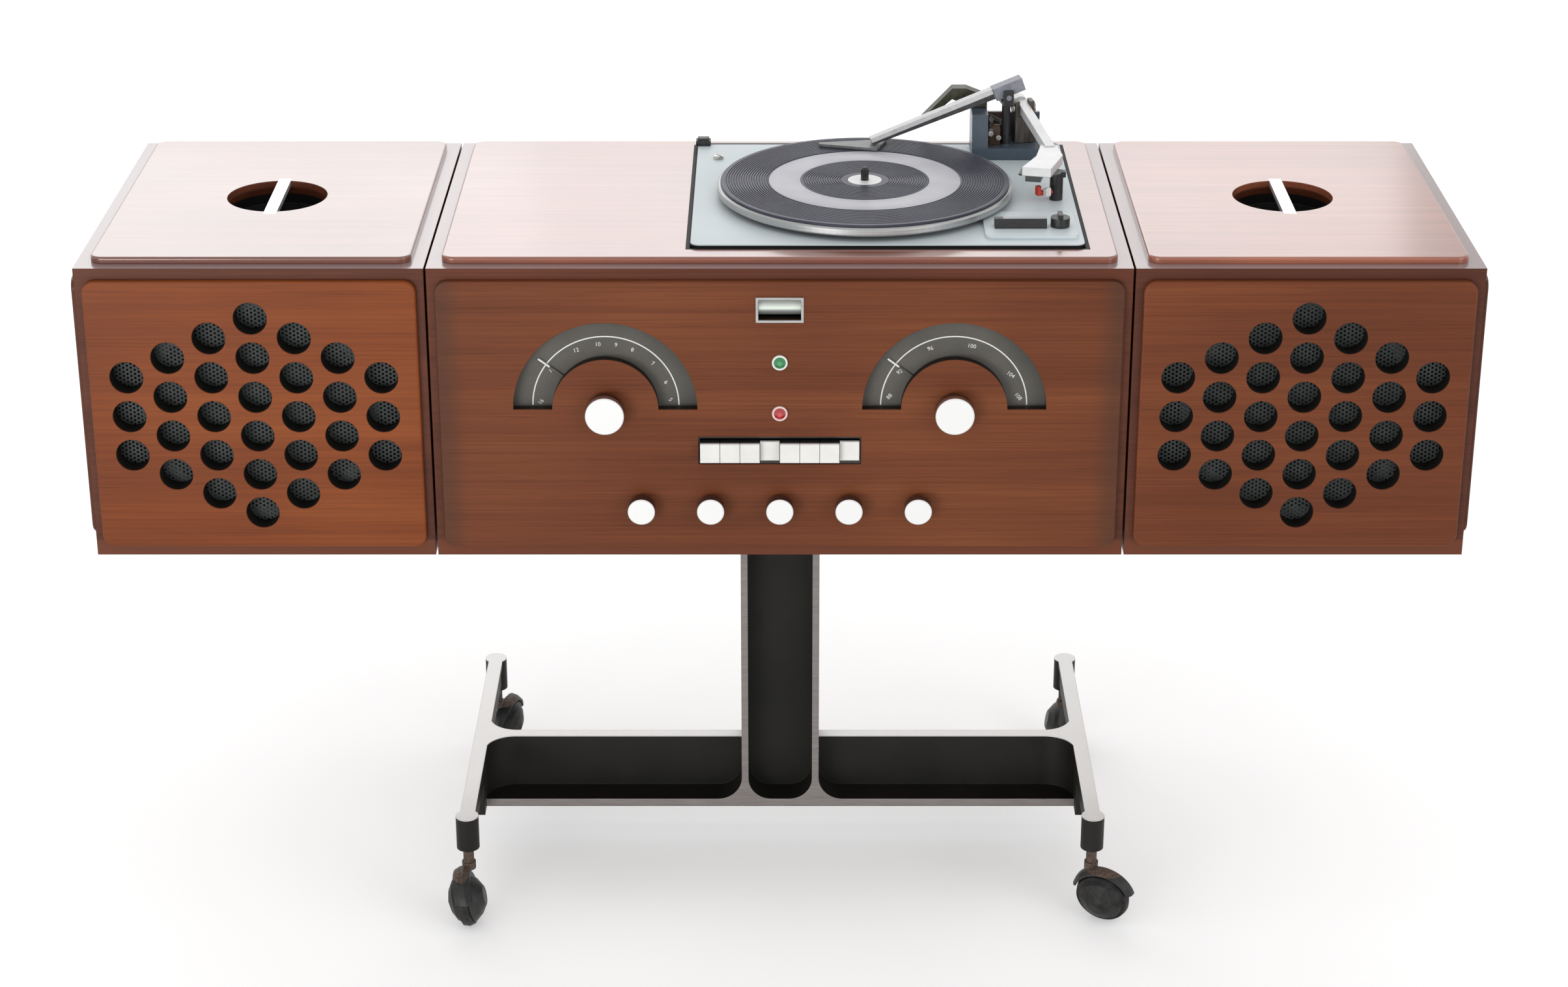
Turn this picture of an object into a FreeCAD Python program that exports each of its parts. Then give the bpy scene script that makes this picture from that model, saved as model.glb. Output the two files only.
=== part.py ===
import FreeCAD, Part
import Sketcher
import math
import os
from types import SimpleNamespace

# A radiogram: a middle cabinet with tuner and record changer between two loudspeaker cubes,
# on a cast inverted-T stand with four ball casters.
# Millimetres, +Z up, front towards -Y, origin on the floor under the middle of the cabinet.

doc = FreeCAD.newDocument("radiogram")
sheet = doc.addObject("Spreadsheet::Sheet", "sizes")

CABINET_SIZES = {
    "stand_height": 380,
    "core_height": 270,
    "core_depth": 366,
    "main_width": 610,
    "speaker_width": 302,
    "seam_gap": 2,
    "carcass_wall": 15,
    "slab_raise": 6,
    "slab_corner": 11,
    "slab_edge": 2,
    "top_inset": 12,
    "front_inset_side": 7,
    "front_inset_edge": 10,
    "side_inset": 13.5,
    "panel_plug": 12,
    "panel_fit": 0.2,
    "back_inset": 8,
    "back_thick": 5,
    "vent_length": 62,
    "vent_height": 5,
    "vent_pitch_across": 78,
    "vent_pitch_up": 13,
    "rail_length": 240,
    "rail_tall": 22,
    "rail_low": 48,
    "rail_high": 200,
    "overrun": 5,
}
SPEAKER_SIZES = {
    "hole_radius": 14.7,
    "hole_column_pitch": 37,
    "hole_row_pitch": 36.5,
    "grille_margin": 8,
    "grille_thick": 1.5,
    "handle_radius": 45.4,
    "bar_width": 11.5,
    "bar_thick": 5,
    "bar_lap": 6,
    "cup_wall": 2.5,
    "cup_depth": 46,
    "cup_flange": 9,
    "driver_radius": 104,
    "driver_ring_thick": 6,
    "driver_ring_width": 10,
    "cone_depth": 42,
    "basket_radius": 48,
    "magnet_radius": 55,
    "magnet_thick": 28,
}
DIAL_SIZES = {
    "dial_spread_share": 0.25,
    "dial_height": 141.7,
    "dial_outer": 80.5,
    "dial_inner": 46.5,
    "dial_window_depth": 8.5,
    "dial_plate_margin": 6,
    "dial_plate_drop": 16,
    "dial_plate_thick": 6.7,
    "pointer_gap": 0.4,
    "pointer_hub": 9,
    "pointer_reach": 73,
    "pointer_width": 1.4,
    "pointer_angle": 143,
    "tuning_knob_radius": 17,
    "tuning_knob_reach": 17.5,
    "tuning_shaft": 4,
    "tuning_shaft_length": 34,
    "knob_gap": 0.5,
    "knob_edge": 0.8,
    "knob_waist": 2.2,
    "shaft_fit": 0.05,
    "loose_fit": 0.4,
}
CONTROL_SIZES = {
    "control_spread_share": 0.1,
    "control_height": 50.5,
    "control_knob_radius": 12,
    "control_knob_reach": 16,
    "control_shaft": 3,
    "control_shaft_length": 30,
    "indicator_height": 234.5,
    "indicator_width": 41.5,
    "indicator_tall": 23,
    "indicator_frame": 2.2,
    "indicator_proud": 1.5,
    "indicator_tube_radius": 7,
    "indicator_setback": 9,
    "lamp_green_height": 186,
    "lamp_red_height": 138.5,
    "lamp_radius": 6.8,
    "lamp_body": 5,
    "lamp_proud": 2,
    "lamp_lens": 4.8,
    "lamp_dome": 2,
    "lamp_length": 24,
    "key_height": 103,
    "key_slot_tall": 26,
    "key_pitch": 17.5,
    "key_width": 17.1,
    "key_tall": 18,
    "key_length": 36,
    "key_proud": 8,
    "key_travel": 6,
    "key_edge": 1.2,
    "key_end_room": 1.2,
    "key_frame_wall": 1.5,
    "key_frame_depth": 52,
    "key_frame_setback": 1,
    "key_ledge_room": 0.4,
}
CHANGER_SIZES = {
    "deck_width": 344,
    "deck_side_margin": 39,
    "deck_front_margin": 37,
    "deck_back_margin": 29,
    "deck_proud": 3,
    "deck_thick": 2.5,
    "deck_skirt_wall": 4,
    "deck_corner": 8,
    "deck_gap": 4,
    "deck_ledge": 9,
    "platter_aside": 17,
    "platter_forward": 10,
    "platter_margin": 16,
    "platter_lift": 4.5,
    "platter_rim": 8,
    "platter_skin": 2.5,
    "platter_rim_wall": 5,
    "platter_hub": 15.5,
    "platter_bevel": 1.5,
    "bearing_radius": 20,
    "bearing_gap": 0.3,
    "mat_inset": 3,
    "mat_thick": 2,
    "mat_gap": 0.3,
    "spindle_radius": 3.6,
    "spindle_height": 12,
    "spindle_tip": 2,
    "spindle_foot": 9,
    "spindle_foot_thick": 4,
    "motor_radius": 38,
    "motor_height": 52,
    "motor_aside": 96,
    "motor_behind": 66,
    "motor_flange": 46,
    "motor_flange_thick": 4,
}
ARM_SIZES = {
    "tower_from_side": 86,
    "tower_from_back": 55,
    "tower_width": 66,
    "tower_depth": 48,
    "tower_base": 11,
    "cheek_width": 15,
    "cheek_height": 42,
    "cheek_taper": 7,
    "tower_wall": 5,
    "tower_wall_height": 34,
    "clamp_in": 32,
    "clamp_behind": 15,
    "clamp_height": 62,
    "clamp_yaw_angle": 9.5,
    "clamp_slope_angle": 20,
    "clamp_post": 4,
    "clamp_pin": 2.5,
    "clamp_block_back": 18,
    "clamp_block_front": 11,
    "clamp_block_width": 13,
    "clamp_block_thick": 12,
    "clamp_arm_length": 134,
    "clamp_arm_wide": 9,
    "clamp_arm_deep": 10,
    "clamp_arm_thin": 6.5,
    "clamp_arm_rise": 5,
    "clamp_barrel": 4.5,
    "yoke_room": 1,
    "yoke_bridge": 3,
    "clamp_ear": 4,
    "clamp_ear_gap": 0.5,
    "foot_plate_length": 50,
    "foot_plate_wide": 28,
    "foot_plate_tip": 5,
    "foot_plate_thick": 2.5,
    "foot_plate_heel": 15,
    "foot_gap": 0.5,
    "feeler_in": 8,
    "feeler_behind": 37,
    "feeler_pin": 3,
    "feeler_pin_length": 16,
    "feeler_wide": 14,
    "feeler_thick": 10.5,
    "feeler_level": 26,
    "feeler_rise": 8,
    "feeler_ramp_length": 28,
    "feeler_drop": 24,
    "feeler_gap": 0.4,
    "gimbal_in": 49,
    "gimbal_behind": 25,
    "gimbal_yaw_angle": 10.8,
    "gimbal_post": 5,
    "gimbal_sink": 9,
    "gimbal_height": 33,
    "gimbal_base_thick": 7,
    "gimbal_ear": 4,
    "gimbal_ear_height": 15,
    "gimbal_ear_depth": 12,
    "gimbal_pin": 2,
    "arm_tube_wide": 9,
    "arm_tube_high": 8,
    "arm_tube_length": 98,
    "arm_slope_angle": 7,
    "arm_tail": 11,
    "arm_weight_radius": 6.5,
    "arm_weight_length": 9,
    "shell_neck": 15,
    "shell_length": 71,
    "shell_offset_angle": 24,
    "shell_shoulder": 17,
    "shell_shoulder_out": 27,
    "shell_front": 26,
    "shell_waist": 6,
    "shell_waist_out": 35,
    "shell_high": 8,
    "shell_drop": 1,
    "cartridge_length": 30,
    "cartridge_wide": 14,
    "cartridge_high": 5.2,
    "cartridge_aside": 3,
    "rest_aside": 21,
    "rest_forward": 142,
    "rest_radius": 6,
    "rest_fork": 16,
    "rest_fork_thick": 8,
    "rest_lip": 5,
    "rest_gap": 0.4,
}
PANEL_SIZES = {
    "plate_from_side": 45,
    "plate_from_front": 49,
    "plate_width": 82,
    "plate_depth": 68,
    "plate_thick": 3,
    "plate_corner": 6,
    "lever_across": -9,
    "lever_back": -8,
    "lever_length": 46,
    "lever_wide": 13,
    "lever_high": 8,
    "lever_travel_left": 6,
    "lever_travel_right": 3,
    "lever_stem_wide": 5,
    "lever_gap": 0.4,
    "speed_across": 26,
    "speed_back": -7,
    "speed_radius": 8.5,
    "speed_high": 12,
    "speed_grip": 4,
    "speed_shaft": 3,
    "speed_shaft_length": 9,
}
STAND_SIZES = {
    "foot_top": 106,
    "beam_tall": 61,
    "column_width": 74.5,
    "flange_depth": 74,
    "web_thick": 13,
    "column_flange": 6.5,
    "bottom_flange": 8,
    "column_recess_corner": 22,
    "beam_recess_corner": 23,
    "foot_spread": 291.5,
    "foot_bar": 14,
    "foot_bar_thick": 6,
    "foot_rib": 11,
    "foot_rib_deep": 55,
    "foot_rib_shallow": 26,
    "foot_fillet": 28,
    "foot_reach": 177.2,
    "boss_radius": 10.7,
    "boss_height": 33,
    "top_plate_width": 220,
    "top_plate_depth": 150,
    "top_plate_thick": 7,
    "stem_radius": 5,
    "stem_sink": 24,
}
CASTER_SIZES = {
    "caster_trail": 14,
    "caster_aside": 3,
    "caster_tilt_angle": 12,
    "wheel_radius": 26,
    "wheel_edge": 24.6,
    "wheel_tread": 10,
    "wheel_dome": 12,
    "wheel_dome_foot": 22,
    "wheel_dome_top": 12,
    "wheel_flank_share": 0.88,
    "wheel_flank_rise_share": 0.35,
    "wheel_crown_share": 0.72,
    "wheel_axle": 3,
    "hood_gap": 0.6,
    "hood_radius": 23.5,
    "hood_depth": 13,
    "hood_shoulder_share": 0.6,
    "hood_shoulder": 17,
    "hood_top": 9,
    "cowl_thick": 4,
    "cowl_lap": 4,
    "cowl_level": 8,
    "neck_radius": 6.5,
    "neck_top": 58,
    "neck_bottom": 50.9,
    "quarter_turn_angle": 90,
    "swivel_front_left_angle": 180,
    "swivel_front_right_angle": 244,
    "swivel_rear_left_angle": -20,
    "swivel_rear_right_angle": 0,
}
CHASSIS_SIZES = {
    "chassis_width": 430,
    "chassis_depth": 190,
    "chassis_high": 42,
    "chassis_back": 30,
    "tuner_width": 150,
    "tuner_depth": 90,
    "tuner_high": 64,
    "tuner_across": -120,
    "transformer_width": 92,
    "transformer_depth": 78,
    "transformer_high": 76,
    "transformer_across": 130,
}
SIZES = {
    **CABINET_SIZES,
    **SPEAKER_SIZES,
    **DIAL_SIZES,
    **CONTROL_SIZES,
    **CHANGER_SIZES,
    **ARM_SIZES,
    **PANEL_SIZES,
    **STAND_SIZES,
    **CASTER_SIZES,
    **CHASSIS_SIZES,
}
for row, (name, value) in enumerate(SIZES.items(), 1):
    sheet.set(f"A{row}", name)
    sheet.set(f"B{row}", str(value))
    sheet.setAlias(f"B{row}", name)
doc.recompute()


class Size:
    """A number from the sheet, or a sum of such numbers, with the formula that gives it."""

    def __init__(self, text, value):
        self.text = text
        self.value = float(value)

    @staticmethod
    def of(other):
        return other if isinstance(other, Size) else Size(repr(other), other)

    def join(self, sign, other, value):
        return Size(f"({self.text} {sign} {other.text})", value)

    def __add__(self, other):
        other = Size.of(other)
        return self.join("+", other, self.value + other.value)

    def __sub__(self, other):
        other = Size.of(other)
        return self.join("-", other, self.value - other.value)

    def __mul__(self, other):
        other = Size.of(other)
        return self.join("*", other, self.value * other.value)

    def __truediv__(self, other):
        other = Size.of(other)
        return self.join("/", other, self.value / other.value)

    def __radd__(self, other):
        return Size.of(other) + self

    def __rsub__(self, other):
        return Size.of(other) - self

    def __rmul__(self, other):
        return Size.of(other) * self

    def __neg__(self):
        return Size(f"(-{self.text})", -self.value)


def trig(kind, angle):
    """Sine or cosine of an angle that the sheet gives in degrees."""
    turn = math.radians(angle.value)
    value = math.sin(turn) if kind == "sin" else math.cos(turn)
    return Size(f"{kind}({angle.text} * 1 deg)", value)


s = SimpleNamespace(**{name: Size(f"sizes.{name}", sheet.get(name)) for name in SIZES})
nodes = {}


def put(thing, **sizes):
    """Bind properties of a document object to sizes, or set plain values."""
    for name, size in sizes.items():
        if isinstance(size, Size):
            thing.setExpression(name, size.text)
        else:
            setattr(thing, name, size)


def place(thing, x=0, y=0, z=0, yaw=0, pitch=0, roll=0):
    """Set where an object stands: its turn in degrees, then its place bound to sizes."""
    turns = [Size.of(turn).value for turn in (yaw, pitch, roll)]
    thing.Placement = FreeCAD.Placement(FreeCAD.Vector(), FreeCAD.Rotation(*turns))
    for axis, size in zip("xyz", (x, y, z)):
        if isinstance(size, Size):
            thing.setExpression(f"Placement.Base.{axis}", size.text)
    return thing


def node(label, thing):
    thing.Label = label
    nodes[label] = thing
    return thing


def box(name, x, y, z, length, width, height):
    """A block by its lowest corner and its three lengths."""
    block = doc.addObject("Part::Box", name)
    put(block, Length=length, Width=width, Height=height)
    return place(block, x, y, z)


def centred_box(name, x, y, z, length, width, height):
    """A block by the middle of its underside."""
    return box(name, x - length / 2, y - width / 2, z, length, width, height)


def cylinder(name, x, y, z, radius, height, **turns):
    rod = doc.addObject("Part::Cylinder", name)
    put(rod, Radius=radius, Height=height)
    return place(rod, x, y, z, **turns)


def cut(base, *tools):
    for tool in tools:
        left = doc.addObject("Part::Cut", f"{base.Name}_cut")
        left.Base = base
        left.Tool = tool
        base = left
    return base


def fuse(name, *pieces):
    whole = doc.addObject("Part::MultiFuse", name)
    whole.Shapes = list(pieces)
    whole.Refine = True
    return whole


def group(name, *pieces):
    """Like pieces that stay separate solids under one name."""
    both = doc.addObject("Part::Compound", name)
    both.Links = list(pieces)
    return both


def new_body(name):
    return doc.addObject("PartDesign::Body", name)


def new_sketch(body, role, lift=0):
    """A sketch on one of the body's own planes, lifted along that plane's normal."""
    plane = next(item for item in body.Origin.OriginFeatures if item.Role == role)
    sketch = body.newObject("Sketcher::SketchObject", f"{body.Name}_sketch")
    sketch.AttachmentSupport = [(plane, "")]
    sketch.MapMode = "FlatFace"
    if isinstance(lift, Size):
        sketch.setExpression("AttachmentOffset.Base.z", lift.text)
    return sketch


def hold(sketch, kind, size, *where):
    """Add one dimension to a sketch and bind it to its size."""
    size = Size.of(size)
    index = sketch.addConstraint(Sketcher.Constraint(kind, *where, size.value))
    name = f"d{index}"
    sketch.renameConstraint(index, name)
    sketch.setExpression(f"Constraints.{name}", size.text)


def hold_point(sketch, shape, end, x, y):
    hold(sketch, "DistanceX", x, -1, 1, shape, end)
    hold(sketch, "DistanceY", y, -1, 1, shape, end)


def flat(x, y):
    return FreeCAD.Vector(Size.of(x).value, Size.of(y).value, 0)


def draw_polygon(sketch, points):
    """A closed outline of straight lines through points given as sizes."""
    first = sketch.GeometryCount
    count = len(points)
    for index, point in enumerate(points):
        after = points[(index + 1) % count]
        sketch.addGeometry(Part.LineSegment(flat(*point), flat(*after)), False)
    for index, point in enumerate(points):
        after = first + (index + 1) % count
        sketch.addConstraint(Sketcher.Constraint("Coincident", first + index, 2, after, 1))
        hold_point(sketch, first + index, 1, *point)


def draw_rectangle(sketch, x, y, width, height):
    """A rectangle by its middle."""
    left, right = x - width / 2, x + width / 2
    low, high = y - height / 2, y + height / 2
    draw_polygon(sketch, [(left, low), (right, low), (right, high), (left, high)])


def draw_circle(sketch, x, y, radius):
    ring = Part.Circle(flat(x, y), FreeCAD.Vector(0, 0, 1), radius.value)
    shape = sketch.addGeometry(ring, False)
    hold_point(sketch, shape, 3, x, y)
    hold(sketch, "Radius", radius, shape)


def draw_half_ring(sketch, x, y, outer, inner):
    """The upper half of a flat ring, with its straight ends level with the middle."""
    ends = []
    for radius in (outer, inner):
        ring = Part.Circle(flat(x, y), FreeCAD.Vector(0, 0, 1), radius.value)
        shape = sketch.addGeometry(Part.ArcOfCircle(ring, 0, math.pi), False)
        hold_point(sketch, shape, 3, x, y)
        hold(sketch, "Radius", radius, shape)
        hold(sketch, "DistanceY", y, -1, 1, shape, 1)
        hold(sketch, "DistanceY", y, -1, 1, shape, 2)
        ends.append(shape)
    for end, sign in ((1, 1), (2, -1)):
        line = Part.LineSegment(flat(x + sign * outer, y), flat(x + sign * inner, y))
        shape = sketch.addGeometry(line, False)
        sketch.addConstraint(Sketcher.Constraint("Coincident", shape, 1, ends[0], end))
        sketch.addConstraint(Sketcher.Constraint("Coincident", shape, 2, ends[1], end))


def draw_gusset(sketch, x, y, radius, side, end):
    """A concave corner filling between two walls that meet at a right angle."""
    corner = (side * x, end * y)
    along = (side * (x - radius), end * y)
    across = (side * x, end * (y + radius))
    middle = flat(side * (x - radius), end * (y + radius))
    start = math.atan2(-end, 0) if side * end > 0 else math.atan2(0, side)
    ring = Part.Circle(middle, FreeCAD.Vector(0, 0, 1), radius.value)
    arc = sketch.addGeometry(Part.ArcOfCircle(ring, start, start + math.pi / 2), False)
    first, last = (1, 2) if side * end > 0 else (2, 1)
    for point, arc_end in ((along, first), (across, last)):
        line = sketch.addGeometry(Part.LineSegment(flat(*corner), flat(*point)), False)
        hold_point(sketch, line, 2, *point)
        sketch.addConstraint(Sketcher.Constraint("Coincident", line, 2, arc, arc_end))
        if arc_end == first:
            hold_point(sketch, line, 1, *corner)
            before = line
    sketch.addConstraint(Sketcher.Constraint("Coincident", before, 1, line, 1))
    hold(sketch, "Radius", radius, arc)


def pad(body, sketch, length, backwards=False):
    """Raise a sketch along its plane's normal, or against it."""
    feature = body.newObject("PartDesign::Pad", f"{body.Name}_pad")
    feature.Profile = sketch
    feature.Reversed = backwards
    put(feature, Length=length)
    doc.recompute()
    return feature


def pocket(body, sketch, length, backwards=False):
    """Cut a sketch into the body along its plane's normal, or against it."""
    before = body.Shape.Volume
    feature = body.newObject("PartDesign::Pocket", f"{body.Name}_pocket")
    feature.Profile = sketch
    feature.Reversed = not backwards
    put(feature, Length=length)
    doc.recompute()
    if not body.Shape.Volume < before:
        raise ValueError(f"{body.Name}: a pocket cut nothing")
    return feature


def turned(name, points):
    """A body of revolution about its own Z from (radius, height) points."""
    body = new_body(name)
    sketch = new_sketch(body, "XZ_Plane")
    draw_polygon(sketch, points)
    feature = body.newObject("PartDesign::Revolution", f"{name}_turn")
    feature.Profile = sketch
    feature.ReferenceAxis = (sketch, ["V_Axis"])
    feature.Angle = 360
    return body


def edges_along(shape, axis, length=None, keep=lambda middle: True):
    """Names of a shape's straight edges along one axis, of one length, where keep allows."""
    names = []
    for index, edge in enumerate(shape.Edges, 1):
        if not isinstance(edge.Curve, Part.Line):
            continue
        run = edge.Vertexes[-1].Point - edge.Vertexes[0].Point
        along = abs(run.dot(axis)) > 0.999 * run.Length
        fits = length is None or abs(run.Length - length.value) < 0.001 * length.value
        if along and fits and keep(edge.CenterOfMass):
            names.append(f"Edge{index}")
    return names


def round_edges(body, radius, axis, length=None, keep=lambda middle: True):
    doc.recompute()
    base = body.Tip
    local = base.Shape.copy()
    names = edges_along(local, axis, length, keep)
    if not names:
        raise ValueError(f"{body.Name}: no edge to round")
    feature = body.newObject("PartDesign::Fillet", f"{body.Name}_round")
    feature.Base = (base, names)
    put(feature, Radius=radius)
    doc.recompute()
    return feature


ALONG_X = FreeCAD.Vector(1, 0, 0)
ALONG_Y = FreeCAD.Vector(0, 1, 0)
ALONG_Z = FreeCAD.Vector(0, 0, 1)

# Levels and planes that several pieces share.
core_top = s.stand_height + s.core_height
slab_top = core_top + s.slab_raise
core_front = -(s.core_depth / 2)
panel_face = core_front - s.slab_raise
panel_back = core_front + s.panel_plug
panel_thick = s.slab_raise + s.panel_plug
speaker_across = s.main_width / 2 + s.seam_gap + s.speaker_width / 2
main_opening = s.main_width - 2 * s.carcass_wall
speaker_opening = s.speaker_width - 2 * s.carcass_wall
opening_tall = s.core_height - 2 * s.carcass_wall
deck_top = slab_top + s.deck_proud
dial_spread = s.main_width * s.dial_spread_share
control_spread = s.main_width * s.control_spread_share
SIDES = {"left": -1, "right": 1}

# Places on the changer: the deck keeps its margins in the cabinet top, and all else keeps to the deck.
deck_right = s.main_width / 2 - s.deck_side_margin
deck_across = deck_right - s.deck_width / 2
deck_depth = s.core_depth - s.deck_front_margin - s.deck_back_margin
deck_front = core_front + s.deck_front_margin
deck_rear = deck_front + deck_depth
deck_middle = deck_front + deck_depth / 2
platter_across = deck_across - s.platter_aside
platter_middle = deck_middle - s.platter_forward
platter_radius = deck_depth / 2 - s.platter_margin
mat_radius = platter_radius - s.mat_inset
motor_across = deck_across + s.motor_aside
motor_middle = deck_middle + s.motor_behind
tower_left = deck_right - s.tower_from_side
tower_front = deck_rear - s.tower_from_back
clamp_across = tower_left + s.clamp_in
clamp_middle = tower_front + s.clamp_behind
clamp_level = slab_top + s.clamp_height
feeler_across = tower_left + s.feeler_in
feeler_middle = tower_front + s.feeler_behind
gimbal_across = tower_left + s.gimbal_in
gimbal_middle = tower_front + s.gimbal_behind
rest_across = gimbal_across + s.rest_aside
rest_middle = gimbal_middle - s.rest_forward
plate_across = deck_right - s.plate_from_side
plate_middle = deck_front + s.plate_from_front
slot_across = s.lever_across + (s.lever_travel_right - s.lever_travel_left) / 2
slot_long = s.lever_stem_wide + s.lever_travel_left + s.lever_travel_right + 2 * s.lever_gap


# Middle cabinet: a carcass open at the front and back, with a well in its top for the changer
# and hanging rails on its sides that carry the loudspeaker cubes.
def make_main_shell():
    carcass = centred_box("main_carcass", 0, 0, s.stand_height,
                          s.main_width, s.core_depth, s.core_height)
    hollow = centred_box("main_hollow", 0, 0,
                         s.stand_height + s.carcass_wall,
                         main_opening, s.core_depth + 2 * s.overrun, opening_tall)
    well = centred_box("deck_well", deck_across, deck_middle, core_top - s.carcass_wall - s.overrun,
                       s.deck_width - 2 * s.deck_ledge, deck_depth - 2 * s.deck_ledge,
                       s.carcass_wall + 2 * s.overrun)
    rails = []
    for name, side in SIDES.items():
        for level in (s.rail_low, s.rail_high):
            rails.append(centred_box(f"{name}_rail", side * (s.main_width + s.seam_gap) / 2,
                                     0, s.stand_height + level,
                                     s.seam_gap, s.rail_length, s.rail_tall))
    node("main_shell", fuse("main_case", cut(carcass, hollow, well), *rails))


# Raised top panel of the middle cabinet, cut out round the changer's deck.
def make_main_top():
    body = new_body("main_top")
    sketch = new_sketch(body, "XY_Plane")
    draw_rectangle(sketch, 0, 0,
                   s.main_width - 2 * s.top_inset, s.core_depth - 2 * s.top_inset)
    pad(body, sketch, s.slab_raise)
    round_edges(body, s.slab_corner, ALONG_Z)
    round_edges(body, s.slab_edge, ALONG_X, keep=lambda middle: middle.z > s.slab_raise.value / 2)
    opening = new_sketch(body, "XY_Plane")
    draw_rectangle(opening, deck_across, deck_middle,
                   s.deck_width + 2 * s.deck_gap, deck_depth + 2 * s.deck_gap)
    pocket(body, opening, s.slab_raise)
    place(body, z=core_top)
    node("main_top_panel", body)


def raised_panel(name, width, tall, opening_width):
    """A front panel: a proud slab with round corners and a plug that fills the carcass opening."""
    body = new_body(name)
    slab = new_sketch(body, "XZ_Plane")
    draw_rectangle(slab, 0, s.core_height / 2, width, tall)
    pad(body, slab, s.slab_raise)
    round_edges(body, s.slab_corner, ALONG_Y)
    round_edges(body, s.slab_edge, ALONG_X, keep=lambda middle: middle.y < -s.slab_raise.value / 2)
    plug = new_sketch(body, "XZ_Plane")
    draw_rectangle(plug, 0, s.core_height / 2,
                   opening_width - 2 * s.panel_fit, opening_tall - 2 * s.panel_fit)
    pad(body, plug, s.panel_plug, backwards=True)
    return body


# Control panel of the middle cabinet, with every window, slot and bush bore.
def make_front_panel():
    body = raised_panel("front_panel", s.main_width - 2 * s.front_inset_side,
                        s.core_height - 2 * s.front_inset_edge, main_opening)
    windows = new_sketch(body, "XZ_Plane", s.slab_raise)
    for side in SIDES.values():
        draw_half_ring(windows, side * dial_spread, s.dial_height, s.dial_outer, s.dial_inner)
    pocket(body, windows, panel_thick, backwards=True)
    seats = new_sketch(body, "XZ_Plane", -s.panel_plug)
    seat_tall = s.dial_outer + s.dial_plate_drop + 2 * s.dial_plate_margin
    seat_middle = s.dial_height + (s.dial_outer - s.dial_plate_drop) / 2
    for side in SIDES.values():
        draw_rectangle(seats, side * dial_spread, seat_middle,
                       2 * s.dial_outer + 2 * s.dial_plate_margin, seat_tall)
    pocket(body, seats, panel_thick - s.dial_window_depth)
    holes = new_sketch(body, "XZ_Plane", s.slab_raise)
    for side in SIDES.values():
        draw_circle(holes, side * dial_spread, s.dial_height, s.tuning_shaft + s.shaft_fit)
    for step in range(-2, 3):
        draw_circle(holes, step * control_spread, s.control_height, s.control_shaft + s.shaft_fit)
    for level in (s.lamp_green_height, s.lamp_red_height):
        draw_circle(holes, 0, level, s.lamp_body + s.panel_fit)
    draw_rectangle(holes, 0, s.key_height,
                   8 * s.key_pitch + 2 * s.key_end_room + 2 * s.panel_fit, s.key_slot_tall)
    draw_rectangle(holes, 0, s.indicator_height,
                   s.indicator_width - 2 * s.indicator_frame, s.indicator_tall - 2 * s.indicator_frame)
    pocket(body, holes, panel_thick, backwards=True)
    place(body, y=core_front, z=s.stand_height)
    node("main_front_panel", body)


# Hardboard back of the middle cabinet with rows of ventilation slots.
def make_back_cover():
    body = new_body("back_cover")
    sketch = new_sketch(body, "XZ_Plane")
    draw_rectangle(sketch, 0, s.core_height / 2,
                   s.main_width - 2 * s.back_inset, s.core_height - 2 * s.back_inset)
    pad(body, sketch, s.back_thick)
    round_edges(body, s.slab_corner, ALONG_Y)
    slots = new_sketch(body, "XZ_Plane")
    for across in (-2, -1, 0, 1, 2):
        for up in (-2, -1, 0, 1, 2):
            draw_rectangle(slots, across * s.vent_pitch_across, s.core_height / 2 + up * s.vent_pitch_up,
                           s.vent_length, s.vent_height)
    pocket(body, slots, s.back_thick)
    place(body, y=s.core_depth / 2 + s.back_thick, z=s.stand_height)
    node("main_back_cover", body)


# Amplifier and tuner on a steel chassis that stands on the cabinet floor.
def make_chassis():
    floor = s.stand_height + s.carcass_wall
    tray = centred_box("chassis_tray", 0, s.chassis_back, floor,
                       s.chassis_width, s.chassis_depth, s.chassis_high)
    tuner = centred_box("tuner_can", s.tuner_across, s.chassis_back, floor + s.chassis_high,
                        s.tuner_width, s.tuner_depth, s.tuner_high)
    transformer = centred_box("transformer", s.transformer_across, s.chassis_back,
                              floor + s.chassis_high, s.transformer_width, s.transformer_depth,
                              s.transformer_high)
    node("amplifier_chassis", fuse("chassis", tray, tuner, transformer))


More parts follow.
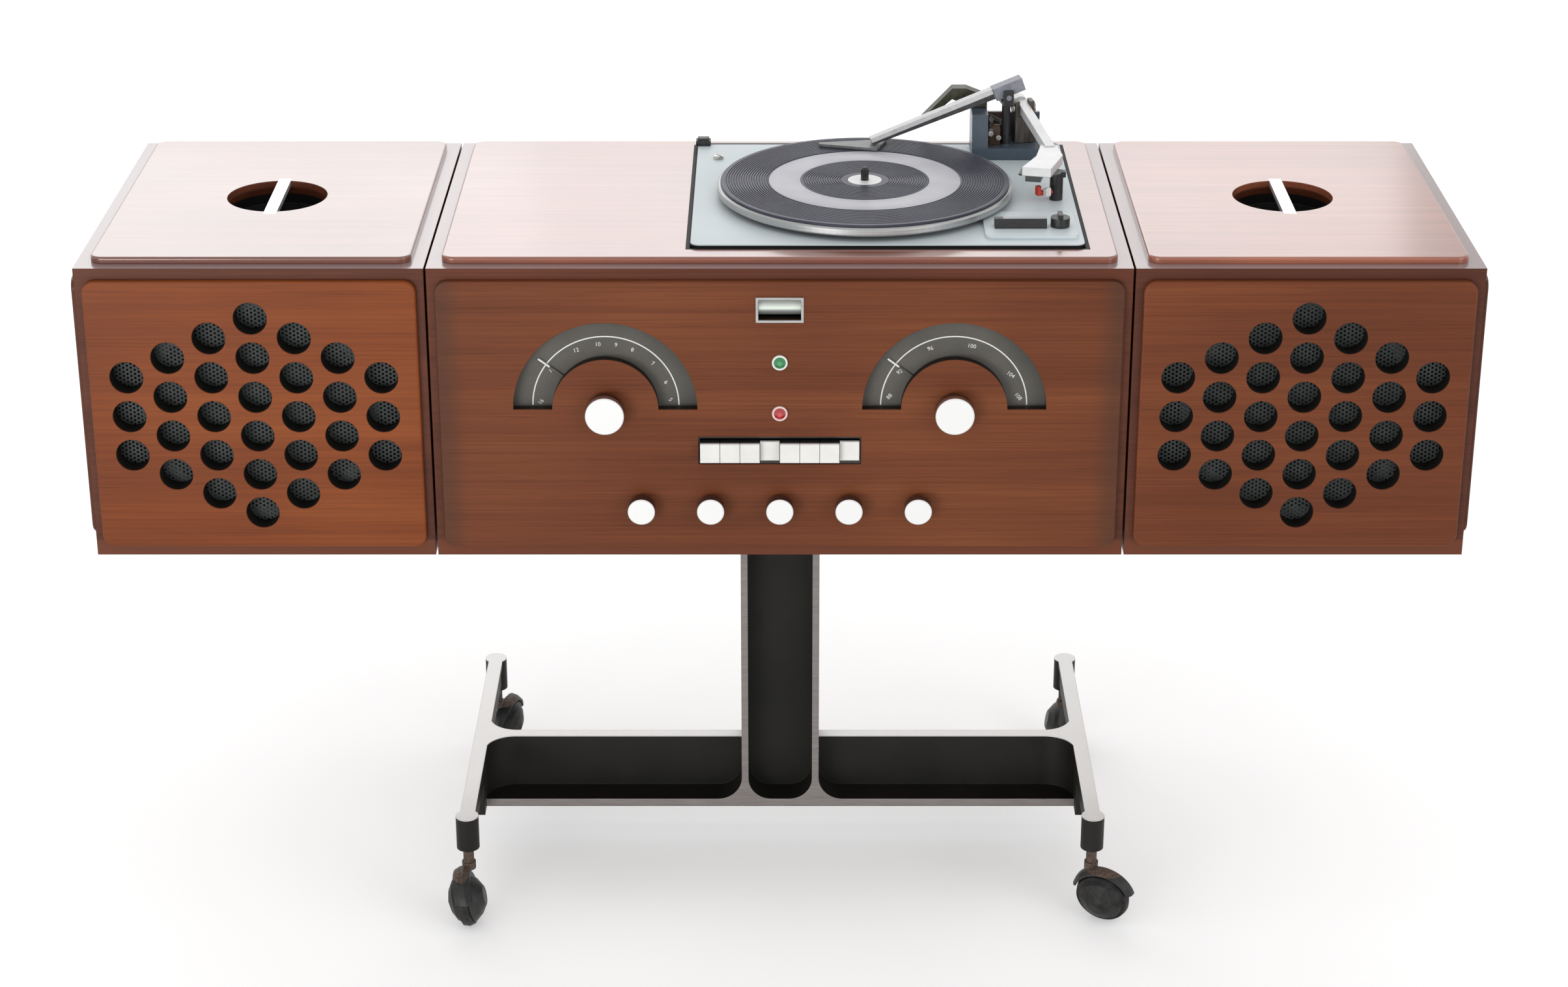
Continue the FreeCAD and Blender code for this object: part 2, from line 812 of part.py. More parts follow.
# Loudspeaker cube: a box open at the front, with raised slabs on its outer side and back.
def make_speaker_shell(name, side):
    body = new_body(f"{name}_box")
    outer = new_sketch(body, "XY_Plane")
    draw_rectangle(outer, 0, 0, s.speaker_width, s.core_depth)
    pad(body, outer, s.core_height)
    flank = new_sketch(body, "YZ_Plane", side * s.speaker_width / 2)
    draw_rectangle(flank, 0, s.core_height / 2,
                   s.core_depth - 2 * s.side_inset, s.core_height - 2 * s.side_inset)
    pad(body, flank, s.slab_raise, backwards=side < 0)
    round_edges(body, s.slab_corner, ALONG_X, s.slab_raise)
    proud_side = (s.speaker_width.value + s.slab_raise.value) / 2
    round_edges(body, s.slab_edge, ALONG_Y, keep=lambda middle: abs(middle.x) > proud_side)
    back = new_sketch(body, "XZ_Plane", -(s.core_depth / 2))
    draw_rectangle(back, 0, s.core_height / 2,
                   s.speaker_width - 2 * s.front_inset_side, s.core_height - 2 * s.front_inset_edge)
    pad(body, back, s.slab_raise, backwards=True)
    round_edges(body, s.slab_corner, ALONG_Y, s.slab_raise)
    proud_back = (s.core_depth.value + s.slab_raise.value) / 2
    round_edges(body, s.slab_edge, ALONG_X, keep=lambda middle: middle.y > proud_back)
    hollow = new_sketch(body, "XZ_Plane", s.core_depth / 2)
    draw_rectangle(hollow, 0, s.core_height / 2, speaker_opening, opening_tall)
    pocket(body, hollow, s.core_depth - s.carcass_wall, backwards=True)
    grip = new_sketch(body, "XY_Plane", s.core_height)
    draw_circle(grip, 0, 0, s.handle_radius)
    pocket(body, grip, s.carcass_wall + s.overrun, backwards=True)
    place(body, side * speaker_across, z=s.stand_height)
    node(f"speaker_{name}_shell", body)


# Raised top panel of a loudspeaker cube, pierced for the hand, with two notches for the bar.
def make_speaker_top(name, side):
    body = new_body(f"{name}_top")
    sketch = new_sketch(body, "XY_Plane")
    draw_rectangle(sketch, 0, 0,
                   s.speaker_width - 2 * s.top_inset, s.core_depth - 2 * s.top_inset)
    pad(body, sketch, s.slab_raise)
    round_edges(body, s.slab_corner, ALONG_Z)
    round_edges(body, s.slab_edge, ALONG_X, keep=lambda middle: middle.z > s.slab_raise.value / 2)
    grip = new_sketch(body, "XY_Plane")
    draw_circle(grip, 0, 0, s.handle_radius)
    pocket(body, grip, s.slab_raise)
    notches = new_sketch(body, "XY_Plane", s.slab_raise)
    draw_rectangle(notches, 0, 0, s.bar_width,
                   2 * s.handle_radius + 2 * s.bar_lap)
    pocket(body, notches, s.bar_thick, backwards=True)
    place(body, side * speaker_across, z=core_top)
    node(f"speaker_{name}_top_panel", body)


# Pierced baffle: columns of round holes that grow and shrink by one hole, set half a row apart.
def make_baffle(name, side):
    body = raised_panel(f"{name}_baffle", s.speaker_width - 2 * s.front_inset_side,
                        s.core_height - 2 * s.front_inset_edge, speaker_opening)
    holes = new_sketch(body, "XZ_Plane", s.slab_raise)
    for column in range(-3, 4):
        count = 6 - abs(column)
        for index in range(count):
            row = index - (count - 1) / 2
            draw_circle(holes, column * s.hole_column_pitch,
                        s.core_height / 2 + row * s.hole_row_pitch, s.hole_radius)
    pocket(body, holes, panel_thick, backwards=True)
    place(body, side * speaker_across, y=core_front, z=s.stand_height)
    node(f"speaker_{name}_baffle", body)


# Pieces that both cubes hold alike: grille sheet, hand bar, cup under the hand hole and driver.
def make_speaker_inner():
    grilles, bars, cups, drivers = [], [], [], []
    cup_outer = s.handle_radius + s.cup_wall
    cup_profile = [
        (0, -s.cup_depth),
        (cup_outer, -s.cup_depth),
        (cup_outer, -s.cup_wall),
        (cup_outer + s.cup_flange, -s.cup_wall),
        (cup_outer + s.cup_flange, 0),
        (s.handle_radius, 0),
        (s.handle_radius, s.cup_wall - s.cup_depth),
        (0, s.cup_wall - s.cup_depth),
    ]
    ring_inner = s.driver_radius - s.driver_ring_width
    basket_back = s.driver_ring_thick + s.cone_depth
    driver_profile = [
        (0, s.cone_depth),
        (s.basket_radius / 2, s.cone_depth),
        (ring_inner, s.driver_ring_thick),
        (ring_inner, 0),
        (s.driver_radius, 0),
        (s.driver_radius, s.driver_ring_thick),
        (s.basket_radius, basket_back),
        (s.magnet_radius, basket_back),
        (s.magnet_radius, basket_back + s.magnet_thick),
        (0, basket_back + s.magnet_thick),
    ]
    grille_back = panel_back + s.grille_thick
    for name, side in SIDES.items():
        across = side * speaker_across
        grilles.append(box(f"{name}_grille", across - speaker_opening / 2 + s.grille_margin, panel_back,
                           s.stand_height + s.carcass_wall + s.grille_margin,
                           speaker_opening - 2 * s.grille_margin, s.grille_thick,
                           opening_tall - 2 * s.grille_margin))
        bar_length = 2 * s.handle_radius + 2 * s.bar_lap
        bars.append(centred_box(f"{name}_bar", across, 0, slab_top - s.bar_thick,
                                s.bar_width, bar_length, s.bar_thick))
        cup = turned(f"{name}_cup", cup_profile)
        cups.append(place(cup, across, z=core_top - s.carcass_wall))
        driver = turned(f"{name}_driver", driver_profile)
        drivers.append(place(driver, across, grille_back, s.stand_height + s.core_height / 2, roll=-s.quarter_turn_angle))
    node("speaker_grilles", group("grilles", *grilles))
    node("speaker_handle_bars", group("bars", *bars))
    node("speaker_handle_cups", group("cups", *cups))
    node("speaker_drivers", group("drivers", *drivers))


# Dial plates behind the half-ring windows, and a needle that sweeps in front of each plate.
def make_dials():
    plate_width = 2 * s.dial_outer + 2 * s.dial_plate_margin - 2 * s.panel_fit
    plate_tall = s.dial_outer + s.dial_plate_drop + 2 * s.dial_plate_margin - 2 * s.panel_fit
    plates = []
    for name, side in SIDES.items():
        body = new_body(f"{name}_dial")
        sketch = new_sketch(body, "XZ_Plane")
        draw_rectangle(sketch, 0, (s.dial_outer - s.dial_plate_drop) / 2,
                       plate_width, plate_tall)
        draw_circle(sketch, 0, 0, s.tuning_shaft + s.loose_fit)
        pad(body, sketch, s.dial_plate_thick)
        place(body, side * dial_spread, panel_back, s.stand_height + s.dial_height)
        plates.append(body)
    node("dial_plates", group("dials", *plates))
    needle_room = panel_thick - s.dial_window_depth - s.dial_plate_thick
    needle_thick = needle_room - 2 * s.pointer_gap
    needle_back = panel_back - s.dial_plate_thick - s.pointer_gap
    for name, side in SIDES.items():
        body = new_body(f"{name}_needle")
        hub = new_sketch(body, "XZ_Plane")
        draw_circle(hub, 0, 0, s.pointer_hub)
        pad(body, hub, needle_thick)
        blade = new_sketch(body, "XZ_Plane")
        draw_rectangle(blade, s.pointer_reach / 2, 0, s.pointer_reach, s.pointer_width)
        pad(body, blade, needle_thick)
        bore = new_sketch(body, "XZ_Plane", needle_thick)
        draw_circle(bore, 0, 0, s.tuning_shaft + s.loose_fit)
        pocket(body, bore, needle_thick, backwards=True)
        place(body, side * dial_spread, needle_back, s.stand_height + s.dial_height,
              pitch=-s.pointer_angle)
        node(f"dial_pointer_{name}", body)


def knob_profile(radius, reach, shaft, shaft_length):
    """Half outline of a turned knob on its shaft: a waist by the panel, a soft rim at the face."""
    return [
        (0, -shaft_length),
        (shaft, -shaft_length),
        (shaft, s.knob_gap),
        (radius - s.knob_waist, s.knob_gap),
        (radius - s.knob_edge, s.knob_gap + s.knob_waist),
        (radius, s.knob_gap + 2 * s.knob_waist),
        (radius, reach - s.knob_edge),
        (radius - s.knob_edge, reach),
        (0, reach),
    ]


# Two tuning knobs in the middle of the dials and a row of five smaller control knobs.
def make_knobs():
    for name, side in SIDES.items():
        knob = turned(f"{name}_tuning", knob_profile(s.tuning_knob_radius, s.tuning_knob_reach,
                                                     s.tuning_shaft, s.tuning_shaft_length))
        place(knob, side * dial_spread, panel_face, s.stand_height + s.dial_height, roll=s.quarter_turn_angle)
        node(f"tuning_knob_{name}", knob)
    for index, step in enumerate(range(-2, 3), 1):
        knob = turned(f"control_{index}", knob_profile(s.control_knob_radius, s.control_knob_reach,
                                                       s.control_shaft, s.control_shaft_length))
        place(knob, step * control_spread, panel_face, s.stand_height + s.control_height, roll=s.quarter_turn_angle)
        node(f"control_knob_{index}", knob)


# Tuning indicator: a metal frame on the panel with a glass tube behind it, and two pilot lamps.
def make_indicators():
    body = new_body("bezel")
    frame = new_sketch(body, "XZ_Plane")
    draw_rectangle(frame, 0, 0, s.indicator_width, s.indicator_tall)
    inner_width = s.indicator_width - 2 * s.indicator_frame
    inner_tall = s.indicator_tall - 2 * s.indicator_frame
    draw_rectangle(frame, 0, 0, inner_width, inner_tall)
    pad(body, frame, s.indicator_proud)
    place(body, y=panel_face, z=s.stand_height + s.indicator_height)
    node("indicator_bezel", body)
    tube_length = inner_width - 2 * s.panel_fit
    tube = cylinder("tube", -(tube_length / 2), panel_face + s.indicator_setback,
                    s.stand_height + s.indicator_height, s.indicator_tube_radius, tube_length, pitch=s.quarter_turn_angle)
    node("indicator_tube", tube)
    profile = [
        (0, -s.lamp_length),
        (s.lamp_body, -s.lamp_length),
        (s.lamp_body, 0),
        (s.lamp_radius, 0),
        (s.lamp_radius, s.lamp_proud),
        (s.lamp_lens, s.lamp_proud),
        (s.lamp_lens / 2, s.lamp_proud + s.lamp_dome),
        (0, s.lamp_proud + s.lamp_dome),
    ]
    lamps = []
    for name, level in (("green", s.lamp_green_height), ("red", s.lamp_red_height)):
        lamp = turned(f"{name}_lamp", profile)
        lamps.append(place(lamp, y=panel_face, z=s.stand_height + level, roll=s.quarter_turn_angle))
    node("pilot_lamps", group("lamps", *lamps))


# Push keys side by side in a black frame; the fourth and eighth stand pushed in.
def make_keys():
    slot_width = 8 * s.key_pitch + 2 * s.key_end_room
    frame_tall = s.key_slot_tall - 2 * s.panel_fit
    frame_low = s.stand_height + s.key_height - frame_tall / 2
    frame_front = panel_face + s.key_frame_setback
    key_low = s.stand_height + s.key_height - s.key_tall / 2
    room_low = key_low - s.key_ledge_room
    outer = centred_box("key_case", 0, frame_front + s.key_frame_depth / 2, frame_low,
                        slot_width, s.key_frame_depth, frame_tall)
    room_wide = 8 * s.key_pitch + s.key_ledge_room
    room_deep = s.key_frame_depth - s.key_frame_wall + s.overrun
    room_tall = frame_low + frame_tall - s.key_frame_wall - room_low
    room = centred_box("key_room", 0, frame_front - s.overrun + room_deep / 2, room_low,
                       room_wide, room_deep, room_tall)
    node("key_frame", cut(outer, room))
    for number in range(1, 9):
        pushed = number in (4, 8)
        body = new_body(f"key_{number}_body")
        sketch = new_sketch(body, "XZ_Plane")
        draw_rectangle(sketch, 0, 0, s.key_width, s.key_tall)
        pad(body, sketch, s.key_length)
        round_edges(body, s.key_edge, ALONG_X, s.key_width,
                    keep=lambda middle: middle.y < -s.key_length.value / 2)
        proud = s.key_proud - s.key_travel if pushed else s.key_proud
        across = (number - 4.5) * s.key_pitch
        place(body, across, panel_face - proud + s.key_length, s.stand_height + s.key_height)
        node(f"key_{number}", body)


# Record changer deck: a pressed steel tray that stands on the ledge of the cabinet's well.
def make_deck():
    body = new_body("deck")
    sketch = new_sketch(body, "XY_Plane")
    draw_rectangle(sketch, deck_across, deck_middle, s.deck_width, deck_depth)
    tall = s.slab_raise + s.deck_proud
    pad(body, sketch, tall)
    round_edges(body, s.deck_corner, ALONG_Z)
    hollow = new_sketch(body, "XY_Plane")
    draw_rectangle(hollow, deck_across, deck_middle,
                   s.deck_width - 2 * s.deck_skirt_wall, deck_depth - 2 * s.deck_skirt_wall)
    pocket(body, hollow, tall - s.deck_thick)
    bearing = new_sketch(body, "XY_Plane", tall)
    draw_circle(bearing, platter_across, platter_middle, s.bearing_radius)
    pad(body, bearing, s.platter_lift - s.bearing_gap)
    holes = new_sketch(body, "XY_Plane", tall + s.platter_lift)
    draw_circle(holes, platter_across, platter_middle, s.spindle_radius + s.shaft_fit)
    draw_circle(holes, plate_across + s.speed_across, plate_middle + s.speed_back,
                s.speed_shaft + s.loose_fit)
    draw_rectangle(holes, plate_across + slot_across, plate_middle + s.lever_back,
                   slot_long, s.lever_stem_wide + 2 * s.lever_gap)
    pocket(body, holes, tall + s.platter_lift, backwards=True)
    place(body, z=core_top)
    node("deck_plate", body)


# Platter and rubber mat that turn round the fixed spindle.
def make_platter():
    top = s.platter_rim
    bore = s.spindle_radius + s.shaft_fit
    bevel = s.platter_bevel
    inner = platter_radius - s.platter_rim_wall
    profile = [
        (bore, 0),
        (s.platter_hub, 0),
        (s.platter_hub, top - s.platter_skin),
        (inner, top - s.platter_skin),
        (inner, 0),
        (platter_radius - bevel, 0),
        (platter_radius, bevel),
        (platter_radius, top - bevel),
        (platter_radius - bevel, top),
        (s.platter_hub, top),
        (s.platter_hub, top + s.mat_thick),
        (bore, top + s.mat_thick),
    ]
    platter = turned("platter_disc", profile)
    level = deck_top + s.platter_lift
    node("platter", place(platter, platter_across, platter_middle, level))
    hole = s.platter_hub + s.mat_gap
    mat = turned("mat_disc", [
        (hole, 0),
        (mat_radius, 0),
        (mat_radius, s.mat_thick),
        (hole, s.mat_thick),
    ])
    node("platter_mat", place(mat, platter_across, platter_middle, level + top))
    mat_top = level + top + s.mat_thick
    foot = deck_top - s.deck_thick - s.spindle_foot_thick
    reach = mat_top + s.spindle_height - foot
    spindle = turned("spindle_rod", [
        (0, 0),
        (s.spindle_foot, 0),
        (s.spindle_foot, s.spindle_foot_thick),
        (s.spindle_radius, s.spindle_foot_thick),
        (s.spindle_radius, reach - s.spindle_tip),
        (s.spindle_radius / 2, reach),
        (0, reach),
    ])
    node("record_spindle", place(spindle, platter_across, platter_middle, foot))
    motor_top = deck_top - s.deck_thick
    can = cylinder("motor_can", motor_across, motor_middle, motor_top - s.motor_height,
                   s.motor_radius, s.motor_height)
    flange = cylinder("motor_flange", motor_across, motor_middle, motor_top - s.motor_flange_thick,
                      s.motor_flange, s.motor_flange_thick)
    node("turntable_motor", fuse("motor", can, flange))
    return mat_top


# Tower of the changer: a base, a tall tapered cheek on the left, a back wall and the clamp's post.
def make_tower():
    base = box("tower_base", tower_left, tower_front, deck_top,
               s.tower_width, s.tower_depth, s.tower_base)
    wall = box("tower_wall", tower_left, tower_front + s.tower_depth - s.tower_wall, deck_top,
               s.tower_width, s.tower_wall, s.tower_wall_height)
    cheek = new_body("tower_cheek")
    sketch = new_sketch(cheek, "YZ_Plane")
    draw_polygon(sketch, [
        (0, 0),
        (s.tower_depth, 0),
        (s.tower_depth, s.cheek_height),
        (s.cheek_taper, s.cheek_height),
    ])
    pad(cheek, sketch, s.cheek_width)
    place(cheek, tower_left, tower_front, deck_top)
    post_foot = deck_top
    post = cylinder("clamp_post", clamp_across, clamp_middle, post_foot, s.clamp_post,
                    clamp_level - s.clamp_barrel - s.yoke_room - post_foot)
    yoke = new_body("clamp_yoke")
    half = s.clamp_block_width / 2 + s.clamp_ear_gap
    bridge = new_sketch(yoke, "YZ_Plane", -s.clamp_barrel)
    floor = -(s.clamp_barrel + s.yoke_room)
    low = floor - s.yoke_bridge
    draw_polygon(bridge, [
        (-half - s.clamp_ear, low),
        (half + s.clamp_ear, low),
        (half + s.clamp_ear, s.clamp_pin + s.clamp_ear),
        (half, s.clamp_pin + s.clamp_ear),
        (half, floor),
        (-half, floor),
        (-half, s.clamp_pin + s.clamp_ear),
        (-half - s.clamp_ear, s.clamp_pin + s.clamp_ear),
    ])
    pad(yoke, bridge, 2 * s.clamp_barrel)
    bore = new_sketch(yoke, "XZ_Plane", half + s.clamp_ear)
    draw_circle(bore, 0, 0, s.clamp_pin + s.shaft_fit)
    pocket(yoke, bore, 2 * half + 2 * s.clamp_ear, backwards=True)
    place(yoke, clamp_across, clamp_middle, clamp_level, yaw=s.clamp_yaw_angle)
    whole = fuse("tower_cast", base, wall, cheek, post, yoke)
    well = cylinder("gimbal_well", gimbal_across, gimbal_middle,
                    deck_top + s.tower_base - s.gimbal_sink - s.feeler_gap,
                    s.gimbal_post + s.shaft_fit, s.gimbal_sink + s.overrun)
    socket = cylinder("feeler_well", feeler_across, feeler_middle,
                      deck_top + s.cheek_height - s.feeler_pin_length - s.feeler_gap,
                      s.feeler_pin + s.shaft_fit, s.feeler_pin_length + s.overrun)
    node("changer_tower", cut(whole, well, socket))


# Clamp arm that holds a record stack: block, tapered bar and flat foot on a cross pin.
def make_clamp_arm(mat_top):
    block = new_body("clamp_block")
    sketch = new_sketch(block, "XY_Plane")
    draw_polygon(sketch, [
        (s.clamp_block_back, -(s.clamp_block_width / 2)),
        (s.clamp_block_back, s.clamp_block_width / 2),
        (-s.clamp_block_front, s.clamp_block_width / 2),
        (-s.clamp_block_front, -(s.clamp_block_width / 2)),
    ])
    pad(block, sketch, s.clamp_block_thick)
    bar = new_sketch(block, "XZ_Plane", -(s.clamp_arm_wide / 2))
    draw_polygon(bar, [
        (-s.clamp_block_front, s.clamp_block_thick),
        (-s.clamp_block_front, s.clamp_block_thick - s.clamp_arm_deep),
        (-s.clamp_arm_length, s.clamp_arm_rise),
        (-s.clamp_arm_length, s.clamp_arm_rise + s.clamp_arm_thin),
    ])
    pad(block, bar, s.clamp_arm_wide)
    place(block, clamp_across, clamp_middle, clamp_level, yaw=s.clamp_yaw_angle, pitch=-s.clamp_slope_angle)
    barrel = new_body("clamp_barrel")
    ring = new_sketch(barrel, "XZ_Plane", -(s.clamp_block_width / 2))
    draw_circle(ring, 0, 0, s.clamp_barrel)
    pad(barrel, ring, s.clamp_block_width)
    pin_half = s.clamp_block_width / 2 + s.clamp_ear_gap + s.clamp_ear
    pin = new_sketch(barrel, "XZ_Plane", -pin_half)
    draw_circle(pin, 0, 0, s.clamp_pin)
    pad(barrel, pin, 2 * pin_half)
    place(barrel, clamp_across, clamp_middle, clamp_level, yaw=s.clamp_yaw_angle)
    foot = new_body("clamp_foot")
    plate = new_sketch(foot, "XY_Plane")
    reach = s.clamp_arm_length * trig("cos", s.clamp_slope_angle)
    draw_polygon(plate, [
        (-reach + s.foot_plate_heel, s.foot_plate_wide / 2),
        (-reach - s.foot_plate_length, s.foot_plate_wide / 2),
        (-reach - s.foot_plate_length, s.foot_plate_wide / 2 - s.foot_plate_tip),
        (-reach, -(s.foot_plate_wide / 2)),
    ])
    pad(foot, plate, s.foot_plate_thick)
    foot_level = mat_top + s.foot_gap
    place(foot, clamp_across, clamp_middle, foot_level, yaw=s.clamp_yaw_angle)
    node("clamp_arm", fuse("clamp", block, barrel, foot))


# Feeler arm behind the clamp: a bent strip on an upright pin in the tower's cheek.
def make_feeler():
    strip = new_body("feeler_strip")
    sketch = new_sketch(strip, "XZ_Plane", -(s.feeler_wide / 2))
    far = s.feeler_level + s.feeler_ramp_length
    tip = s.feeler_rise - s.feeler_drop
    draw_polygon(sketch, [
        (s.feeler_wide / 2, 0),
        (s.feeler_wide / 2, s.feeler_thick),
        (-(s.feeler_level / 2), s.feeler_rise + s.feeler_thick),
        (-s.feeler_level, s.feeler_rise + s.feeler_thick),
        (-far, tip + s.feeler_thick / 2),
        (-far, tip),
        (-s.feeler_level, s.feeler_rise),
        (-(s.feeler_wide / 2), 0),
    ])
    pad(strip, sketch, s.feeler_wide)
    pin = new_sketch(strip, "XY_Plane")
    draw_circle(pin, 0, 0, s.feeler_pin)
    pad(strip, pin, s.feeler_pin_length, backwards=True)
    place(strip, feeler_across, feeler_middle, deck_top + s.cheek_height + s.feeler_gap)
    node("feeler_arm", strip)


# Tonearm: a gimbal that turns on an upright post, and the arm that tips between its ears.
def make_tonearm():
    half = s.arm_tube_wide / 2 + s.clamp_ear_gap
    base_low = deck_top + s.tower_base + s.feeler_gap
    gimbal = new_body("gimbal_yoke")
    yoke = new_sketch(gimbal, "XZ_Plane", -(s.gimbal_ear_depth / 2))
    draw_polygon(yoke, [
        (-half - s.gimbal_ear, 0),
        (half + s.gimbal_ear, 0),
        (half + s.gimbal_ear, s.gimbal_base_thick + s.gimbal_height),
        (half, s.gimbal_base_thick + s.gimbal_height),
        (half, s.gimbal_base_thick + s.gimbal_height - s.gimbal_ear_height),
        (-half, s.gimbal_base_thick + s.gimbal_height - s.gimbal_ear_height),
        (-half, s.gimbal_base_thick + s.gimbal_height),
        (-half - s.gimbal_ear, s.gimbal_base_thick + s.gimbal_height),
    ])
    pad(gimbal, yoke, s.gimbal_ear_depth)
    axle = s.gimbal_base_thick + s.gimbal_height - s.gimbal_ear_height / 2
    bore = new_sketch(gimbal, "YZ_Plane", -(half + s.gimbal_ear))
    draw_circle(bore, 0, axle, s.gimbal_pin + s.shaft_fit)
    pocket(gimbal, bore, 2 * half + 2 * s.gimbal_ear)
    post = new_sketch(gimbal, "XY_Plane")
    draw_circle(post, 0, 0, s.gimbal_post)
    pad(gimbal, post, s.gimbal_sink, backwards=True)
    place(gimbal, gimbal_across, gimbal_middle, base_low, yaw=s.gimbal_yaw_angle)
    node("tonearm_gimbal", gimbal)

    axle_level = base_low + axle
    arm = new_body("arm_tube")
    tube = new_sketch(arm, "XY_Plane", -(s.arm_tube_high / 2))
    draw_polygon(tube, [
        (-(s.arm_tube_wide / 2), s.arm_tail),
        (s.arm_tube_wide / 2, s.arm_tail),
        (s.arm_tube_wide / 2, -s.arm_tube_length),
        (-(s.arm_tube_wide / 2), -s.arm_tube_length),
    ])
    pad(arm, tube, s.arm_tube_high)
    weight = new_sketch(arm, "XZ_Plane", -s.arm_tail)
    draw_circle(weight, 0, 0, s.arm_weight_radius)
    pad(arm, weight, s.arm_weight_length, backwards=True)
    pin = new_sketch(arm, "YZ_Plane", -(half + s.gimbal_ear))
    draw_circle(pin, 0, 0, s.gimbal_pin)
    pad(arm, pin, 2 * half + 2 * s.gimbal_ear)
    place(arm, gimbal_across, gimbal_middle, axle_level, yaw=s.gimbal_yaw_angle, roll=s.arm_slope_angle)
    shell = new_body("arm_shell")
    tip = s.arm_tube_length * trig("cos", s.arm_slope_angle)
    sink = -(s.arm_tube_length * trig("sin", s.arm_slope_angle)) - s.shell_drop
    outline = new_sketch(shell, "XY_Plane", sink - s.shell_high / 2)
    draw_polygon(outline, [
        (s.shell_neck / 2, 0),
        (s.shell_shoulder, -s.shell_shoulder_out),
        (s.shell_front / 2, -s.shell_length),
        (-(s.shell_front / 2), -s.shell_length),
        (-s.shell_waist, -s.shell_waist_out),
        (-(s.shell_neck / 2), 0),
    ])
    pad(shell, outline, s.shell_high)
    head = new_sketch(shell, "XY_Plane", sink - s.shell_high / 2)
    draw_rectangle(head, -s.cartridge_aside, s.cartridge_length / 2 - s.shell_length,
                   s.cartridge_wide, s.cartridge_length)
    pad(shell, head, s.cartridge_high, backwards=True)
    neck = tip - s.arm_tube_wide / 2
    place(shell, gimbal_across + neck * trig("sin", s.gimbal_yaw_angle),
          gimbal_middle - neck * trig("cos", s.gimbal_yaw_angle), axle_level,
          yaw=s.gimbal_yaw_angle - s.shell_offset_angle)
    node("tonearm", fuse("arm", arm, shell))
    return axle_level + sink - s.shell_high / 2


# Rest for the tonearm: a round post with a small fork under the arm's shell.
def make_arm_rest(shell_low):
    top = shell_low - s.rest_gap
    post = cylinder("rest_post", rest_across, rest_middle, deck_top, s.rest_radius, top - deck_top)
    fork = centred_box("rest_fork", rest_across, rest_middle, top - s.rest_lip,
                       s.rest_fork, s.rest_fork_thick, s.rest_lip)
    node("arm_rest", fuse("rest", post, fork))


# Control plate of the changer with its start lever and speed knob.
def make_changer_controls():
    body = new_body("plate")
    sketch = new_sketch(body, "XY_Plane")
    draw_rectangle(sketch, 0, 0, s.plate_width, s.plate_depth)
    pad(body, sketch, s.plate_thick)
    round_edges(body, s.plate_corner, ALONG_Z)
    holes = new_sketch(body, "XY_Plane", s.plate_thick)
    draw_circle(holes, s.speed_across, s.speed_back, s.speed_shaft + s.shaft_fit)
    draw_rectangle(holes, slot_across, s.lever_back, slot_long, s.lever_stem_wide + 2 * s.lever_gap)
    pocket(body, holes, s.plate_thick, backwards=True)
    place(body, plate_across, plate_middle, deck_top)
    node("control_plate", body)
    plate_top = deck_top + s.plate_thick
    grip = new_body("lever")
    bar = new_sketch(grip, "YZ_Plane", -(s.lever_length / 2))
    draw_polygon(bar, [
        (-(s.lever_wide / 2), s.lever_gap),
        (s.lever_wide / 2, s.lever_gap),
        (s.lever_wide / 4, s.lever_high),
        (-(s.lever_wide / 4), s.lever_high),
    ])
    pad(grip, bar, s.lever_length)
    stem = new_sketch(grip, "XY_Plane", s.lever_gap)
    draw_rectangle(stem, 0, 0, s.lever_stem_wide, s.lever_stem_wide)
    pad(grip, stem, s.lever_gap + s.plate_thick + s.deck_thick, backwards=True)
    place(grip, plate_across + s.lever_across, plate_middle + s.lever_back, plate_top)
    node("start_lever", grip)
    knob = new_body("speed")
    disc = new_sketch(knob, "XY_Plane", s.lever_gap)
    draw_circle(disc, 0, 0, s.speed_radius)
    pad(knob, disc, s.speed_high - s.speed_grip)
    ridge = new_sketch(knob, "XY_Plane", s.speed_high - s.speed_grip)
    draw_rectangle(ridge, 0, 0, s.speed_grip, 2 * s.speed_radius - s.speed_grip)
    pad(knob, ridge, s.speed_grip)
    shaft = new_sketch(knob, "XY_Plane", s.lever_gap)
    draw_circle(shaft, 0, 0, s.speed_shaft)
    pad(knob, shaft, s.speed_shaft_length, backwards=True)
    place(knob, plate_across + s.speed_across, plate_middle + s.speed_back, plate_top)
    node("speed_knob", knob)


